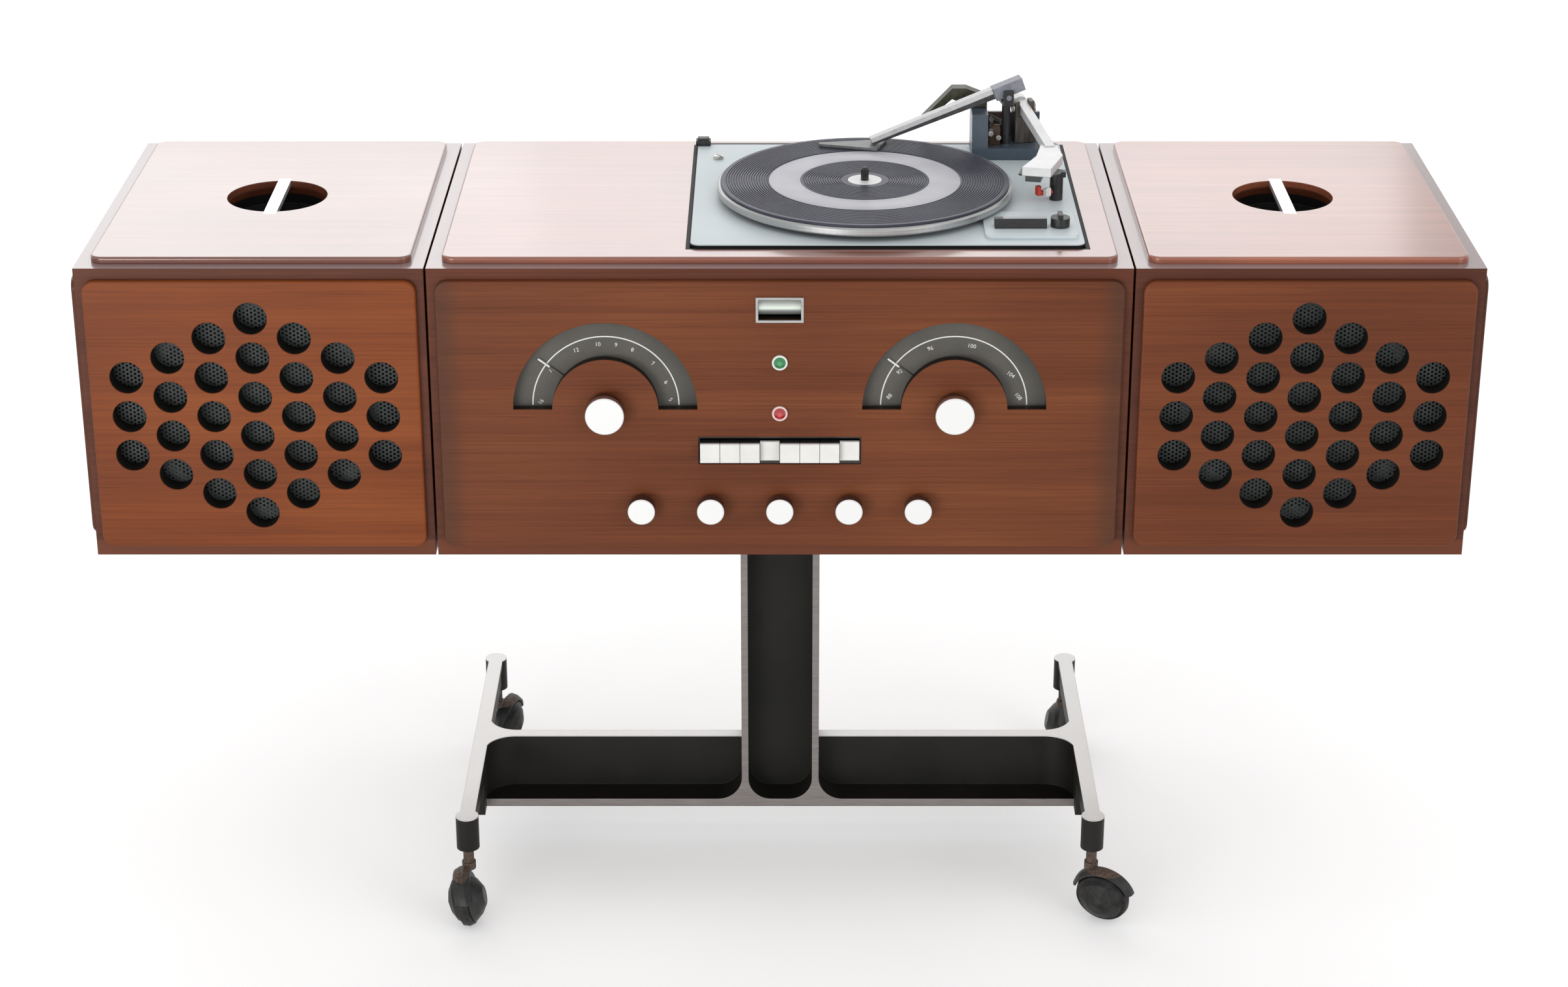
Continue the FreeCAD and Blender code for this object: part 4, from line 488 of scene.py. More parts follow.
def half_ring(name, outer, width, thick):
    """A thin flat half ring, made as a disc that is inset, emptied, halved and raised."""
    ring = begin(name, bpy.ops.mesh.primitive_circle_add, vertices=160, radius=outer * MM, fill_type="NGON")
    bpy.ops.mesh.inset(thickness=width * MM)
    bpy.ops.mesh.delete(type="FACE")
    bpy.ops.mesh.select_all(action="SELECT")
    bpy.ops.mesh.bisect(plane_co=(0, 0, 0), plane_no=(0, 1, 0), clear_inner=True)
    bpy.ops.mesh.select_all(action="SELECT")
    pull(0, 0, thick)
    face_outward()
    return ring


def number(text, tall, thick, place, lean):
    """A plain printed number that faces the front, leaning with its dial."""
    bpy.ops.object.select_all(action="DESELECT")
    bpy.ops.object.text_add()
    figure = bpy.context.object
    figure.data.body = text
    figure.data.size = tall * MM
    figure.data.extrude = thick * MM
    figure.data.resolution_u = 3
    figure.data.align_x = "CENTER"
    figure.data.align_y = "CENTER"
    bpy.ops.object.convert(target="MESH")
    return settle(bpy.context.object, place, (90, lean, 0))


SIDES = (("left", -1), ("right", 1))
DIAL_NUMBERS = {
    "left": {177: "16", 145: "14", 116: "12", 96: "10", 80: "9", 65: "8", 43: "7", 22: "6", 5: "5"},
    "right": {172: "88", 147: "92", 112: "96", 75: "100", 30: "104", 8: "108"},
}
dial_spread, dial_level = 152.5 * MM, 521.7 * MM
dial_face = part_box("dial_plates")[0].y
number_reach = 57 * MM
tip_start, tip_end = 60.4 * MM, 60.9 * MM
plate = Finish("dial_grey_plate", specular=0.2)
tooth = plate.noise(700)
shade = plate.noise(18, detail=3)
dull = tooth * 0.3 + shade * 0.7
plate.give(
    base_color=plate.ramp(dull, (0.09, 0.085, 0.076), (0.13, 0.122, 0.109), at=(0.35, 0.68)),
    roughness=0.5 + tooth * 0.2,
)
plate.relief(tooth, 0.12, 0.1, 0.4)
dress("dial_plates", plate)

print_white = Finish("dial_white_print", roughness=0.5, specular=0.3)
ink = print_white.noise(900, detail=3)
print_white.give(base_color=print_white.ramp(ink, (0.66, 0.66, 0.63), (0.82, 0.82, 0.8), at=(0.3, 0.6)))

for side, sign in SIDES:
    middle = sign * dial_spread
    scale = half_ring(f"dial_scale_{side}", outer=64.6, width=1.1, thick=0.12)
    settle(scale, (middle, dial_face, dial_level), (90, 0, 0))
    marks = [scale]
    for angle, text in DIAL_NUMBERS[side].items():
        place = (middle + number_reach * math.cos(math.radians(angle)), dial_face - 0.05 * MM,
                 dial_level + number_reach * math.sin(math.radians(angle)))
        marks.append(number(text, 5.2, 0.06, place, lean=(90 - angle) * 0.6))
    activate(*marks)
    bpy.ops.object.join()
    complete(scale, print_white, "cabinet")

    needle = Finish(f"{side}_needle_lacquer", roughness=0.45, specular=0.3)
    wear = needle.noise(300)
    across, forward, level = needle.parts(needle.lie(shift=(-middle, 0, -dial_level)))
    tip = needle.step(needle.distance(across, level), tip_start, tip_end)
    white = needle.ramp(wear, (0.62, 0.62, 0.6), (0.8, 0.8, 0.78), at=(0.3, 0.6))
    needle.give(base_color=needle.blend(tip, (0.1, 0.095, 0.086), white))
    dress(f"dial_pointer_{side}", needle)


# Knobs: turned from aluminium bar. The flat faces are spun to a white satin, the sides are polished
# and waisted. Each is pressed on its own shaft. The sides' colour is painted light: a pale painted
# highlight band next to the face, and behind it a dark colour that paints the reflection of the dark panel.
def spun_knob(name, x, z, band):
    """Dress a knob: fine rings on the face about its axis, a painted highlight band behind it, then a dark
    side that paints the panel's reflection.
    """
    knob = Finish(f"{name}_metal", specular=0.5)
    across, forward, level = knob.parts(knob.lie(shift=(-x, -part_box(name)[0].y, -z)))
    lathe = knob.rings(knob.distance(across, level), 2600, detail=2.0)
    smear = knob.noise(120)
    side = knob.step(forward, 0.5 * MM, 1.1 * MM)
    spun = knob.ramp(lathe, (0.74, 0.74, 0.73), (0.88, 0.88, 0.87))
    # Painted light on the side: dark for the panel it reflects, pale for a highlight band next to the face.
    painted_side_light = knob.ramp(smear, (0.1, 0.092, 0.092), (0.22, 0.21, 0.215), at=(0.35, 0.7))
    painted_side_light = knob.blend(knob.step(forward, band + 2 * MM, band), painted_side_light, (0.62, 0.6, 0.64))
    knob.give(
        base_color=knob.blend(side, spun, painted_side_light),
        metallic=0.25 + side * 0.7,
        roughness=0.42 - side * 0.24 + smear * 0.06,
    )
    knob.relief(lathe * (1 - side), 0.1, 0.05, 0.5)
    dress(name, knob)


control_level, control_spread = 430.5 * MM, 61 * MM
for side, sign in SIDES:
    spun_knob(f"tuning_knob_{side}", sign * dial_spread, dial_level, band=6 * MM)
for place in range(1, 6):
    spun_knob(f"control_knob_{place}", (place - 3) * control_spread, control_level, band=0.8 * MM)


# Tuning indicator: a satin metal frame pinned to the panel round a glass tube, which shows a pale
# glow along its upper half and stays dark below. The dim grey-green of the lower half and the weak
# glow given to it are painted light, lifting it out of the shade of the tube's curve.
bezel = mottled("bezel_satin_metal", (60, 1400, 1400), 3, (0.32, 0.32, 0.31), (0.46, 0.46, 0.45),
                gloss=(0.28, 0.16), relief=(0.1, 0.06, 0.5), specular=0.5, metallic=0.85)
dress("indicator_bezel", bezel)
tube_low, tube_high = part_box("indicator_tube")
tube_level = (tube_low.z + tube_high.z) / 2
line_level = tube_level + 1.2 * MM
tube = Finish("indicator_glow_glass", roughness=0.08, coat_weight=1.0, coat_roughness=0.03,
              emission_strength=0.25)
level = tube.parts()[2]
streak = tube.noise((14, 300, 300), detail=3)
glow = tube.step(level + streak * 0.8 * MM, tube_level - 1.6 * MM, line_level)
target = tube.step(abs(level - line_level), 2.0 * MM, 0.6 * MM)
# Painted light: the lower half's grey-green and the glow over it lift it out of the shade of the curve.
glass = tube.blend(glow, (0.13, 0.14, 0.128), (0.5, 0.53, 0.49))
glass = tube.blend(target * 0.8, glass, (0.62, 0.72, 0.62))
tube.give(base_color=glass, emission_color=glass)
dress("indicator_tube", tube)


# Pilot lamps: a green lens above a red one, moulded in clear colour, each domed and brighter in its
# middle and set in a pale ring that is pressed into the panel.
green_level, red_level = 566 * MM, 518.5 * MM
lens_radius = 5.4 * MM
lamp = Finish("pilot_lamp_lens", coat_weight=0.8, coat_roughness=0.05, emission_strength=0.12)
across, forward, level = lamp.parts()
upper = level > (green_level + red_level) / 2
rise = (level - green_level) * upper + (level - red_level) * (1 - upper)
around = lamp.distance(across, rise)
ripple = lamp.noise(500, detail=2)
rim = lamp.step(around, lens_radius - 0.3 * MM, lens_radius + 0.1 * MM)
hot = lamp.step(around, 3.4 * MM, 0.6 * MM)
green = lamp.blend(hot * 0.35, (0.008, 0.17, 0.05), (0.1, 0.5, 0.2))
red = lamp.blend(hot * 0.35, (0.34, 0.012, 0.016), (0.75, 0.1, 0.1))
lens = lamp.blend(upper, red, green)
pale = lamp.blend(upper, (0.72, 0.56, 0.54), (0.74, 0.76, 0.72))
lamp.give(
    base_color=lamp.blend(rim, lens, pale),
    emission_color=lamp.blend(rim, lens, (0, 0, 0)),
    roughness=0.12 + rim * 0.25 + ripple * 0.05,
)
lamp.relief(ripple, 0.05, 0.1, 0.4)
dress("pilot_lamps", lamp)


# Push keys: off-white glossy caps in a row, each near black behind its cap, in a black case behind the
# panel's slot.
# The caps have yellowed a little unevenly. They carry no symbols.
cap_thick = 3.2 * MM
for place in range(1, 9):
    name = f"key_{place}"
    ivory = Finish(f"{name}_ivory_cap", specular=0.5, coat_weight=0.4, coat_roughness=0.08)
    age = ivory.noise(45)
    fine = ivory.noise(600, detail=3)
    cap_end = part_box(name)[0].y + cap_thick
    # Near black behind the cap's first 3.2 mm.
    behind_cap = ivory.step(ivory.parts()[1], cap_end, cap_end + 0.3 * MM)
    cap = ivory.ramp(age, (0.72, 0.71, 0.67), (0.82, 0.81, 0.78))
    ivory.give(
        base_color=ivory.blend(behind_cap, cap, (0.012, 0.012, 0.012)),
        roughness=0.24 + fine * 0.12 + behind_cap * 0.2,
    )
    ivory.relief(fine, 0.05, 0.1, 0.7)
    dress(name, ivory)
bakelite = mottled("black_moulding", 240, 5, (0.009, 0.009, 0.0095), (0.026, 0.026, 0.027), at=(0.35, 0.7),
                   gloss=(0.32, 0.2), relief=(0.1, 0.2, 0.6), specular=0.5)
dress("key_frame", bakelite)


# Changer deck: a pressed steel tray enamelled pale blue-grey, let into the top with a black gasket
# round it. A slotted transit screw holds it, and a black catch sits at its back left corner.
def mm(*sizes):
    """Millimetres as metres."""
    return tuple(size * MM for size in sizes)


def choose(piece, test):
    """Select the faces whose middle and normal pass a test, and nothing else."""
    bpy.ops.mesh.select_all(action="DESELECT")
    mesh = bmesh.from_edit_mesh(piece.data)
    for face in mesh.faces:
        face.select_set(test(face.calc_center_median(), face.normal))
    bmesh.update_edit_mesh(piece.data)


deck_low, deck_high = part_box("deck_plate")
slab_low, slab_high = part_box("main_top_panel")
deck_top = slab_high.z + 3 * MM
lip_level, back_line = slab_high.z + 2 * MM, deck_high.y - 5.4 * MM
enamel = Finish("deck_pale_enamel", specular=0.25)
across, forward, level = enamel.parts()
# The deck's sides below the lip and a narrow strip along its back edge are coloured near black.
edge = enamel.step(level, lip_level + 0.3 * MM, lip_level)
edge = edge.most(enamel.step(forward, back_line, back_line + 0.6 * MM))
peel = enamel.noise(230, detail=3)
soil = enamel.noise(7)
pale = enamel.ramp(soil, (0.62, 0.69, 0.715), (0.72, 0.785, 0.81))
enamel.give(
    base_color=enamel.blend(edge, pale, (0.01, 0.01, 0.011)),
    roughness=0.34 + peel * 0.1 + soil * 0.1,
)
enamel.relief(peel, 0.05, 0.1, 1.2)
dress("deck_plate", enamel)
dress("control_plate", enamel)

gasket_width, gasket_play = 4 * MM, 0.2 * MM
deck_deep, deck_middle = 300 * MM, 4 * MM
gasket_grow = 2 * gasket_width - gasket_play
gasket = begin("deck_gasket", bpy.ops.mesh.primitive_plane_add, size=1)
bpy.ops.transform.resize(value=(deck_high.x - deck_low.x + gasket_grow, deck_deep + gasket_grow, 1))
bpy.ops.mesh.inset(thickness=gasket_width - 2 * gasket_play)
bpy.ops.mesh.delete(type="FACE")
bpy.ops.mesh.select_all(action="SELECT")
pull(0, 0, (slab_high.z - slab_low.z - gasket_play) / MM)
face_outward()
bpy.ops.mesh.bevel(offset=0.3 * MM, segments=2)
gasket_rubber = mottled("gasket_black_rubber", 400, 3, (0.008, 0.008, 0.008), (0.02, 0.02, 0.02),
                        gloss=(0.55, 0.2), specular=0.3)
settle(gasket, ((deck_low.x + deck_high.x) / 2, deck_middle, slab_low.z))
complete(gasket, gasket_rubber, "cabinet")

screw_steel = mottled("screw_plated_steel", 300, 4, (0.34, 0.33, 0.31), (0.62, 0.61, 0.58),
                      gloss=(0.28, 0.2), metallic=1.0, specular=0.5)


def modify(piece, kind, **settings):
    """Give the active piece a modifier with its settings and apply it."""
    modifier = piece.modifiers.new(kind, kind)
    for name, value in settings.items():
        setattr(modifier, name, value)
    bpy.ops.object.modifier_apply(modifier=modifier.name)


def slotted_screw(name, radius, rise, place, turn):
    """A round screw head in the cabinet: a disc domed at its rim, with a slot sawn across it."""
    head = begin(name, bpy.ops.mesh.primitive_cylinder_add, vertices=28, radius=radius, depth=rise)
    choose(head, lambda at, normal: normal.z > 0.9)
    bpy.ops.mesh.bevel(offset=rise * 0.5, segments=3, affect="EDGES")
    bpy.ops.object.mode_set(mode="OBJECT")
    saw = begin(f"{name}_saw", bpy.ops.mesh.primitive_cube_add, size=1)
    bpy.ops.transform.resize(value=(radius * 0.32, radius * 2.4, rise * 0.9))
    bpy.ops.transform.translate(value=(0, 0, rise * 0.55))
    bpy.ops.object.mode_set(mode="OBJECT")
    activate(head)
    modify(head, "BOOLEAN", object=saw, operation="DIFFERENCE")
    bpy.data.objects.remove(saw)
    settle(head, (0, 0, rise / 2))
    settle(head, place, turn)
    complete(head, screw_steel, "cabinet", 25)


slotted_screw("deck_transit_screw", 4.8 * MM, 3.4 * MM, (-58 * MM, 104 * MM, deck_top), (0, 0, 40))
cover_low, cover_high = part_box("main_back_cover")
screw_in = 14 * MM
screw_pitch = (cover_high.x - cover_low.x - 2 * screw_in) / 3
for row, level in enumerate((cover_low.z + screw_in, cover_high.z - screw_in)):
    for column in range(4):
        place = (cover_low.x + screw_in + screw_pitch * column, cover_high.y, level)
        slotted_screw(f"back_screw_{4 * row + column + 1}", 4 * MM, 1.8 * MM, place,
                      (-90, 31 * column + 17 * row, 0))

catch = begin("deck_corner_catch", bpy.ops.mesh.primitive_cube_add, size=1)
bpy.ops.transform.resize(value=mm(14, 12, 5))
choose(catch, lambda at, normal: normal.z > 0.9)
bpy.ops.mesh.inset(thickness=1.5 * MM)
pull(0, 0, 2)
bpy.ops.mesh.select_all(action="SELECT")
bpy.ops.mesh.bevel(offset=0.7 * MM, segments=2)
settle(catch, (-73 * MM, 149 * MM, deck_top + 2.5 * MM))
complete(catch, bakelite, "cabinet")


# Turntable: an aluminium platter with a polished rim. A dark ribbed rubber mat lies on it, moulded with
# a broad light ring, and round the spindle hole the white hub of the platter shows.
platter_x, platter_y = 77 * MM, -6 * MM
hub_radius, rim_radius = 17 * MM, 132.6 * MM
cast = Finish("platter_turned_metal", specular=0.5)
across, forward, level = cast.parts(cast.lie(shift=(-platter_x, -platter_y, 0)))
around = cast.distance(across, forward)
turning = cast.rings(around, 1800, detail=3.0)
streak = cast.noise((14, 14, 900), detail=3)
hub = cast.step(around, hub_radius, hub_radius - 1 * MM)
rim = cast.step(around, rim_radius, rim_radius + 0.8 * MM)
satin = cast.ramp(turning, (0.26, 0.265, 0.27), (0.4, 0.4, 0.4))
bright = cast.ramp(streak, (0.36, 0.37, 0.37), (0.6, 0.6, 0.59), at=(0.35, 0.65))
cast.give(
    base_color=cast.blend(hub, cast.blend(rim * 0.6, satin, bright), (0.8, 0.8, 0.79)),
    metallic=0.8 - hub * 0.75,
    roughness=0.24 + turning * 0.14 + hub * 0.15,
)
cast.relief(streak * rim * 0.4 + turning * 0.1, 0.3, 0.3, 0.9)
dress("platter", cast)

mat_low, mat_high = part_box("platter_mat")
mat_top = (mat_high.z - mat_low.z) / MM
mat_hole, mat_brim, mat_rim = 15.6, 130.2, 130.95
inner_ribs, outer_ribs = (22, 57.2), (88.4, 127.4)
rib_pitch, rib_deep = 2.2, 0.75
ring_inner, ring_outer, ring_deep = 58.9, 86.6, 0.15
step_wide, step_deep = 0.7, 0.5


def carry(outline, extrude):
    """Carry the selected ring of vertices through (radius, height) steps in millimetres."""
    for (radius, height), (next_radius, next_height) in zip(outline, outline[1:]):
        extrude(TRANSFORM_OT_translate={"value": (0, 0, (next_height - height) * MM)})
        ratio = next_radius / radius
        bpy.ops.transform.resize(value=(ratio, ratio, 1), center_override=(0, 0, 0))


def ribs(start, end):
    """Steps of the mat's ribs between two radii: down, along the groove, up and along the land."""
    count = int((end - start) / rib_pitch)
    width = (end - start) / count
    for at in (start + width * place for place in range(count)):
        yield at + width * 0.14, mat_top - rib_deep
        yield at + width * 0.4, mat_top - rib_deep
        yield at + width * 0.54, mat_top
        yield at + width, mat_top


mat = begin("ribbed_mat", bpy.ops.mesh.primitive_circle_add, vertices=180, radius=mat_hole * MM)
carry([(mat_hole, 0), (mat_hole, mat_top - 0.4), (mat_hole + 0.4, mat_top), (inner_ribs[0], mat_top),
       *ribs(*inner_ribs), (ring_inner - step_wide, mat_top - step_deep), (ring_inner, mat_top - ring_deep),
       (ring_outer, mat_top - ring_deep), (ring_outer + step_wide, mat_top - step_deep),
       (outer_ribs[0], mat_top), *ribs(*outer_ribs), (mat_brim, mat_top), (mat_rim, mat_top - 0.7),
       (mat_rim, 0.2), (mat_hole, 0)], bpy.ops.mesh.extrude_edges_move)
bpy.ops.mesh.select_all(action="SELECT")
bpy.ops.mesh.remove_doubles(threshold=0.02 * MM)
bpy.ops.mesh.normals_make_consistent(inside=False)
settle(mat, (platter_x, platter_y, mat_low.z))
rubber = Finish("mat_ribbed_rubber", specular=0.26)
across, forward, level = rubber.parts(rubber.lie(shift=(-platter_x, -platter_y, 0)))
around = rubber.distance(across, forward)
bloom = rubber.noise(22, detail=5)
tooth = rubber.noise(800, detail=3)
band = rubber.step(around, (ring_inner - 0.4) * MM, (ring_inner - 0.1) * MM)
band *= rubber.step(around, (ring_outer + 0.4) * MM, (ring_outer + 0.1) * MM)
dark = rubber.ramp(bloom, (0.034, 0.035, 0.054), (0.066, 0.068, 0.096), at=(0.3, 0.72))
light = rubber.ramp(bloom, (0.46, 0.46, 0.5), (0.58, 0.58, 0.62), at=(0.3, 0.72))
rubber.give(base_color=rubber.blend(band, dark, light), roughness=0.34 + tooth * 0.14)
rubber.relief(tooth, 0.12, 0.1)
complete(mat, rubber, "turntable", 30)
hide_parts("platter_mat")
dress("record_spindle", bakelite)


# Changer tower: a slate painted bracket bolted to the deck, which carries the arms. The changer's
# works show on its right: brown laminate plates, a black cam, plated pins and three coil springs.
clamp_x, clamp_y, clamp_z = mm(212, 114, 718)
tower_base = 670
post_half, post_foot = 12 * MM, 671 * MM
slate = Finish("tower_slate_paint", specular=0.45, coat_weight=0.3, coat_roughness=0.2)
across, forward, level = slate.parts(slate.lie(shift=(-clamp_x, -clamp_y, 0)))
post = (abs(across) < post_half) * (abs(forward) < post_half) * (level > post_foot)
peel = slate.noise(320)
worn = slate.noise(30)
paint = slate.ramp(worn, (0.045, 0.068, 0.095), (0.085, 0.115, 0.15), at=(0.3, 0.72))
slate.give(
    base_color=slate.blend(post, paint, (0.012, 0.012, 0.014)),
    roughness=0.34 + peel * 0.14,
)
slate.relief(peel, 0.1, 0.2, 1.0)
dress("changer_tower", slate)


def bevelled_block(name, size, edge):
    """Start a block of a size in millimetres with its edges broken, standing on its own origin."""
    block = begin(name, bpy.ops.mesh.primitive_cube_add, size=1)
    bpy.ops.transform.resize(value=mm(*size))
    bpy.ops.transform.translate(value=(0, 0, size[2] * MM / 2))
    bpy.ops.mesh.bevel(offset=edge * MM, segments=2)
    return block


def turned_piece(name, outline, vertices=32):
    """Start a piece turned about its own axis: a disc carried through (radius, height) steps."""
    piece = begin(name, bpy.ops.mesh.primitive_circle_add, vertices=vertices, radius=outline[0][0] * MM)
    bpy.ops.mesh.edge_face_add()
    carry(outline, bpy.ops.mesh.extrude_region_move)
    face_outward()
    return piece


def coil_spring(name, radius, wire, turns, length, place, turn):
    """A pulled coil of flat wire in the cabinet: a small ring, lying flat, screwed along an axis, in mm."""
    ring = begin(name, bpy.ops.mesh.primitive_circle_add, vertices=8, radius=wire * MM)
    bpy.ops.transform.translate(value=(radius * MM, 0, 0))
    settle(ring)
    modify(ring, "SCREW", axis="Z", angle=math.tau, iterations=turns, screw_offset=length * MM / turns,
           steps=18, render_steps=18)
    bpy.ops.object.mode_set(mode="EDIT")
    bpy.ops.mesh.select_all(action="SELECT")
    bpy.ops.mesh.remove_doubles(threshold=0.001 * MM)
    bpy.ops.mesh.fill_holes(sides=0)
    bpy.ops.mesh.normals_make_consistent(inside=False)
    settle(ring, mm(*place), turn)
    complete(ring, screw_steel, "cabinet")


cam_brown = mottled("cam_brown_laminate", 300, 5, (0.045, 0.024, 0.015), (0.1, 0.055, 0.034),
                    gloss=(0.42, 0.15), relief=(0.15, 0.15, 0.4), specular=0.4)
frame_plate = bevelled_block("changer_frame_plate", (17, 3, 25), 0.5)
choose(frame_plate, lambda at, normal: normal.x > 0.9)
pull(3, 0, 0)
bpy.ops.transform.resize(value=(1, 1, 0.6))
settle(frame_plate, mm(205, 137, tower_base))
front_plate = bevelled_block("changer_front_plate", (11, 2.4, 16), 0.4)
choose(front_plate, lambda at, normal: normal.z > 0.9)
pull(2, 0, 4)
bpy.ops.transform.resize(value=(0.5, 1, 1))
settle(front_plate, mm(201.5, 112, tower_base))
for piece in (frame_plate, front_plate):
    complete(piece, cam_brown, "cabinet")
cam_outline = ((6.8, 0), (6.8, 2.2), (5.2, 2.4), (5.2, 4.2), (3.2, 4.6), (3.2, 7), (2.6, 7.4))
cam = turned_piece("changer_cam", cam_outline)
settle(cam, mm(203, 123, tower_base))
complete(cam, bakelite, "cabinet")

lying, upright = (90, 0, 0), (0, 0, 0)
for place, (x, y, z, turn, long) in enumerate((
        (197.6, 111, 683, lying, 8), (205, 111, 679, lying, 7), (199, 135.6, 690, lying, 9),
        (209, 135.6, 687, lying, 9), (203, 123, 677, upright, 5), (243.6, 106, tower_base, upright, 14),
        (243.4, 140, tower_base, upright, 17)), 1):
    pin_outline = ((1.6, 0), (1.6, long - 1.6), (2.5, long - 1.4), (2.5, long - 0.4), (2.0, long))
    pin = turned_piece(f"changer_pin_{place}", pin_outline, 20)
    settle(pin, mm(x, y, z), turn)
    complete(pin, screw_steel, "cabinet")
coil_spring("lift_spring", 1.9, 0.32, turns=12, length=22, place=(197.6, 104, 683), turn=(-80, 0, -6))
coil_spring("trip_spring", 1.6, 0.28, turns=12, length=17, place=(209, 128, 688), turn=(0, -60, 30))
coil_spring("pull_spring", 1.5, 0.26, turns=14, length=22, place=(243.5, 112, 680), turn=(-90, 0, 0))
for place, (x, y) in enumerate(((187, 104), (243, 124)), 1):
    slotted_screw(f"tower_screw_{place}", 2.6 * MM, 1.4 * MM, mm(x, y, tower_base), (0, 0, 35 * place))


# Clamp arm: a pressed steel arm enamelled white on top and near black below, with a lavender-grey
# pivot block at one end and a flat foot at the other that steadies a stack of records.
yaw, slope = math.radians(9.5), math.radians(20)
arm_along = (math.cos(slope) * math.cos(yaw), math.cos(slope) * math.sin(yaw), math.sin(slope))
arm_up = (-math.sin(slope) * math.cos(yaw), -math.sin(slope) * math.sin(yaw), math.cos(slope))
block_start, top_skin, foot_level = -12 * MM, 7.6 * MM, -40.4 * MM
clamp = Finish("clamp_arm_enamel", specular=0.4)
from_pivot = clamp.lie(shift=(-clamp_x, -clamp_y, -clamp_z))
grime = clamp.noise(160)
block = clamp.step(clamp.share(from_pivot, arm_along), block_start, block_start + 0.6 * MM)
under = clamp.step(clamp.share(from_pivot, arm_up), top_skin, top_skin - 0.6 * MM) * (1 - block)
foot = clamp.step(clamp.parts(from_pivot)[2], foot_level, foot_level - 0.4 * MM)
white = clamp.ramp(grime, (0.6, 0.6, 0.61), (0.74, 0.74, 0.74))
below = clamp.ramp(grime, (0.035, 0.034, 0.036), (0.08, 0.077, 0.08))
lavender = clamp.ramp(grime, (0.2, 0.21, 0.25), (0.29, 0.3, 0.34))
pale = clamp.ramp(grime, (0.16, 0.17, 0.165), (0.24, 0.25, 0.245))
arm_colour = clamp.blend(block, clamp.blend(under, white, below), lavender)
clamp.give(base_color=clamp.blend(foot, arm_colour, pale), roughness=0.34 + grime * 0.16)
clamp.relief(grime, 0.06, 0.1, 0.5)
dress("clamp_arm", clamp)


# Feeler arm: a bent steel pressing in dark olive paint on a pin of the tower. It feels the size of the
# record and swings in behind the clamp.
olive = mottled("feeler_olive_paint", 210, 5, (0.03, 0.031, 0.018), (0.075, 0.075, 0.045), at=(0.3, 0.72),
                gloss=(0.38, 0.16), relief=(0.1, 0.15, 0.5), specular=0.45)
dress("feeler_arm", olive)


# Pick-up arm: a white moulded tube on a dark gimbal, with an angular head and a dark green cartridge
# under it. The arm's axle has plated caps; a black post with a red clip is its rest.
arm_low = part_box("tonearm")[0].z
shell_low = arm_low + 5.2 * MM
arm_white = Finish("pick_up_arm_white", specular=0.5, coat_weight=0.35, coat_roughness=0.12)
cloud = arm_white.noise(55, detail=3)
fine = arm_white.noise(700, detail=3)
cartridge = arm_white.step(arm_white.parts()[2], shell_low + 0.5 * MM, shell_low - 0.1 * MM)
white = arm_white.ramp(cloud, (0.7, 0.7, 0.7), (0.8, 0.8, 0.8))
arm_white.give(
    base_color=arm_white.blend(cartridge, white, (0.018, 0.026, 0.022)),
    roughness=0.3 + fine * 0.12,
)
arm_white.relief(fine, 0.05, 0.08, 0.6)
dress("tonearm", arm_white)
gimbal = Finish("gimbal_dark_bronze", specular=0.45)
brush = gimbal.noise((300, 300, 40), detail=3)
gimbal.give(
    base_color=gimbal.ramp(brush, (0.045, 0.038, 0.034), (0.13, 0.115, 0.1)),
    metallic=0.4 + brush * 0.3,
    roughness=0.34 + brush * 0.14,
)
gimbal.relief(brush, 0.08, 0.1, 0.6)
dress("tonearm_gimbal", gimbal)
dress("arm_rest", bakelite)


def beside(root, turn, aside, out, z):
    """A place to the right of a root and out toward the front, both turned, in metres from millimetres."""
    cosine, sine = math.cos(math.radians(turn)), math.sin(math.radians(turn))
    return mm(root[0] + aside * cosine + out * sine, root[1] + aside * sine - out * cosine, z)


axle, axle_level, axle_turn, cap_reach = (229, 124), 702.9, 10.8, 9.1
cap_outline = ((4.6, 0), (5.0, 0.5), (5.0, 1.6), (4.2, 2.2), (2.2, 2.2), (1.8, 1.6))
for side, sign in SIDES:
    cap = turned_piece(f"gimbal_cap_{side}", cap_outline)
    settle(cap, turn=(0, 90 * sign, 0))
    settle(cap, beside(axle, axle_turn, sign * cap_reach, 0, axle_level), (0, 0, axle_turn))
    complete(cap, screw_steel, "tonearm")

head_root, head_turn = (246.4, 32.9), -13.2
cartridge_green = mottled("cartridge_dark_green", 260, 4, (0.012, 0.02, 0.017), (0.03, 0.042, 0.036),
                          gloss=(0.3, 0.15), relief=(0.06, 0.1, 0.3), specular=0.45)
tray = bevelled_block("cartridge_tray", (30, 22, 1.8), 0.4)
choose(tray, lambda at, normal: normal.x > 0.9)
pull(7, 3, 0)
bpy.ops.transform.resize(value=(1, 0.45, 1))
settle(tray, beside(head_root, head_turn, -2, 55, shell_low / MM - 1.8), (0, 0, head_turn))
complete(tray, cartridge_green, "tonearm")
stylus = turned_piece("stylus_lever", ((0.9, 0), (0.9, -1.2), (0.5, -1.8), (0.16, -3.2)), 16)
settle(stylus, beside(head_root, head_turn, -3, 62, arm_low / MM + 0.2))
complete(stylus, screw_steel, "tonearm")

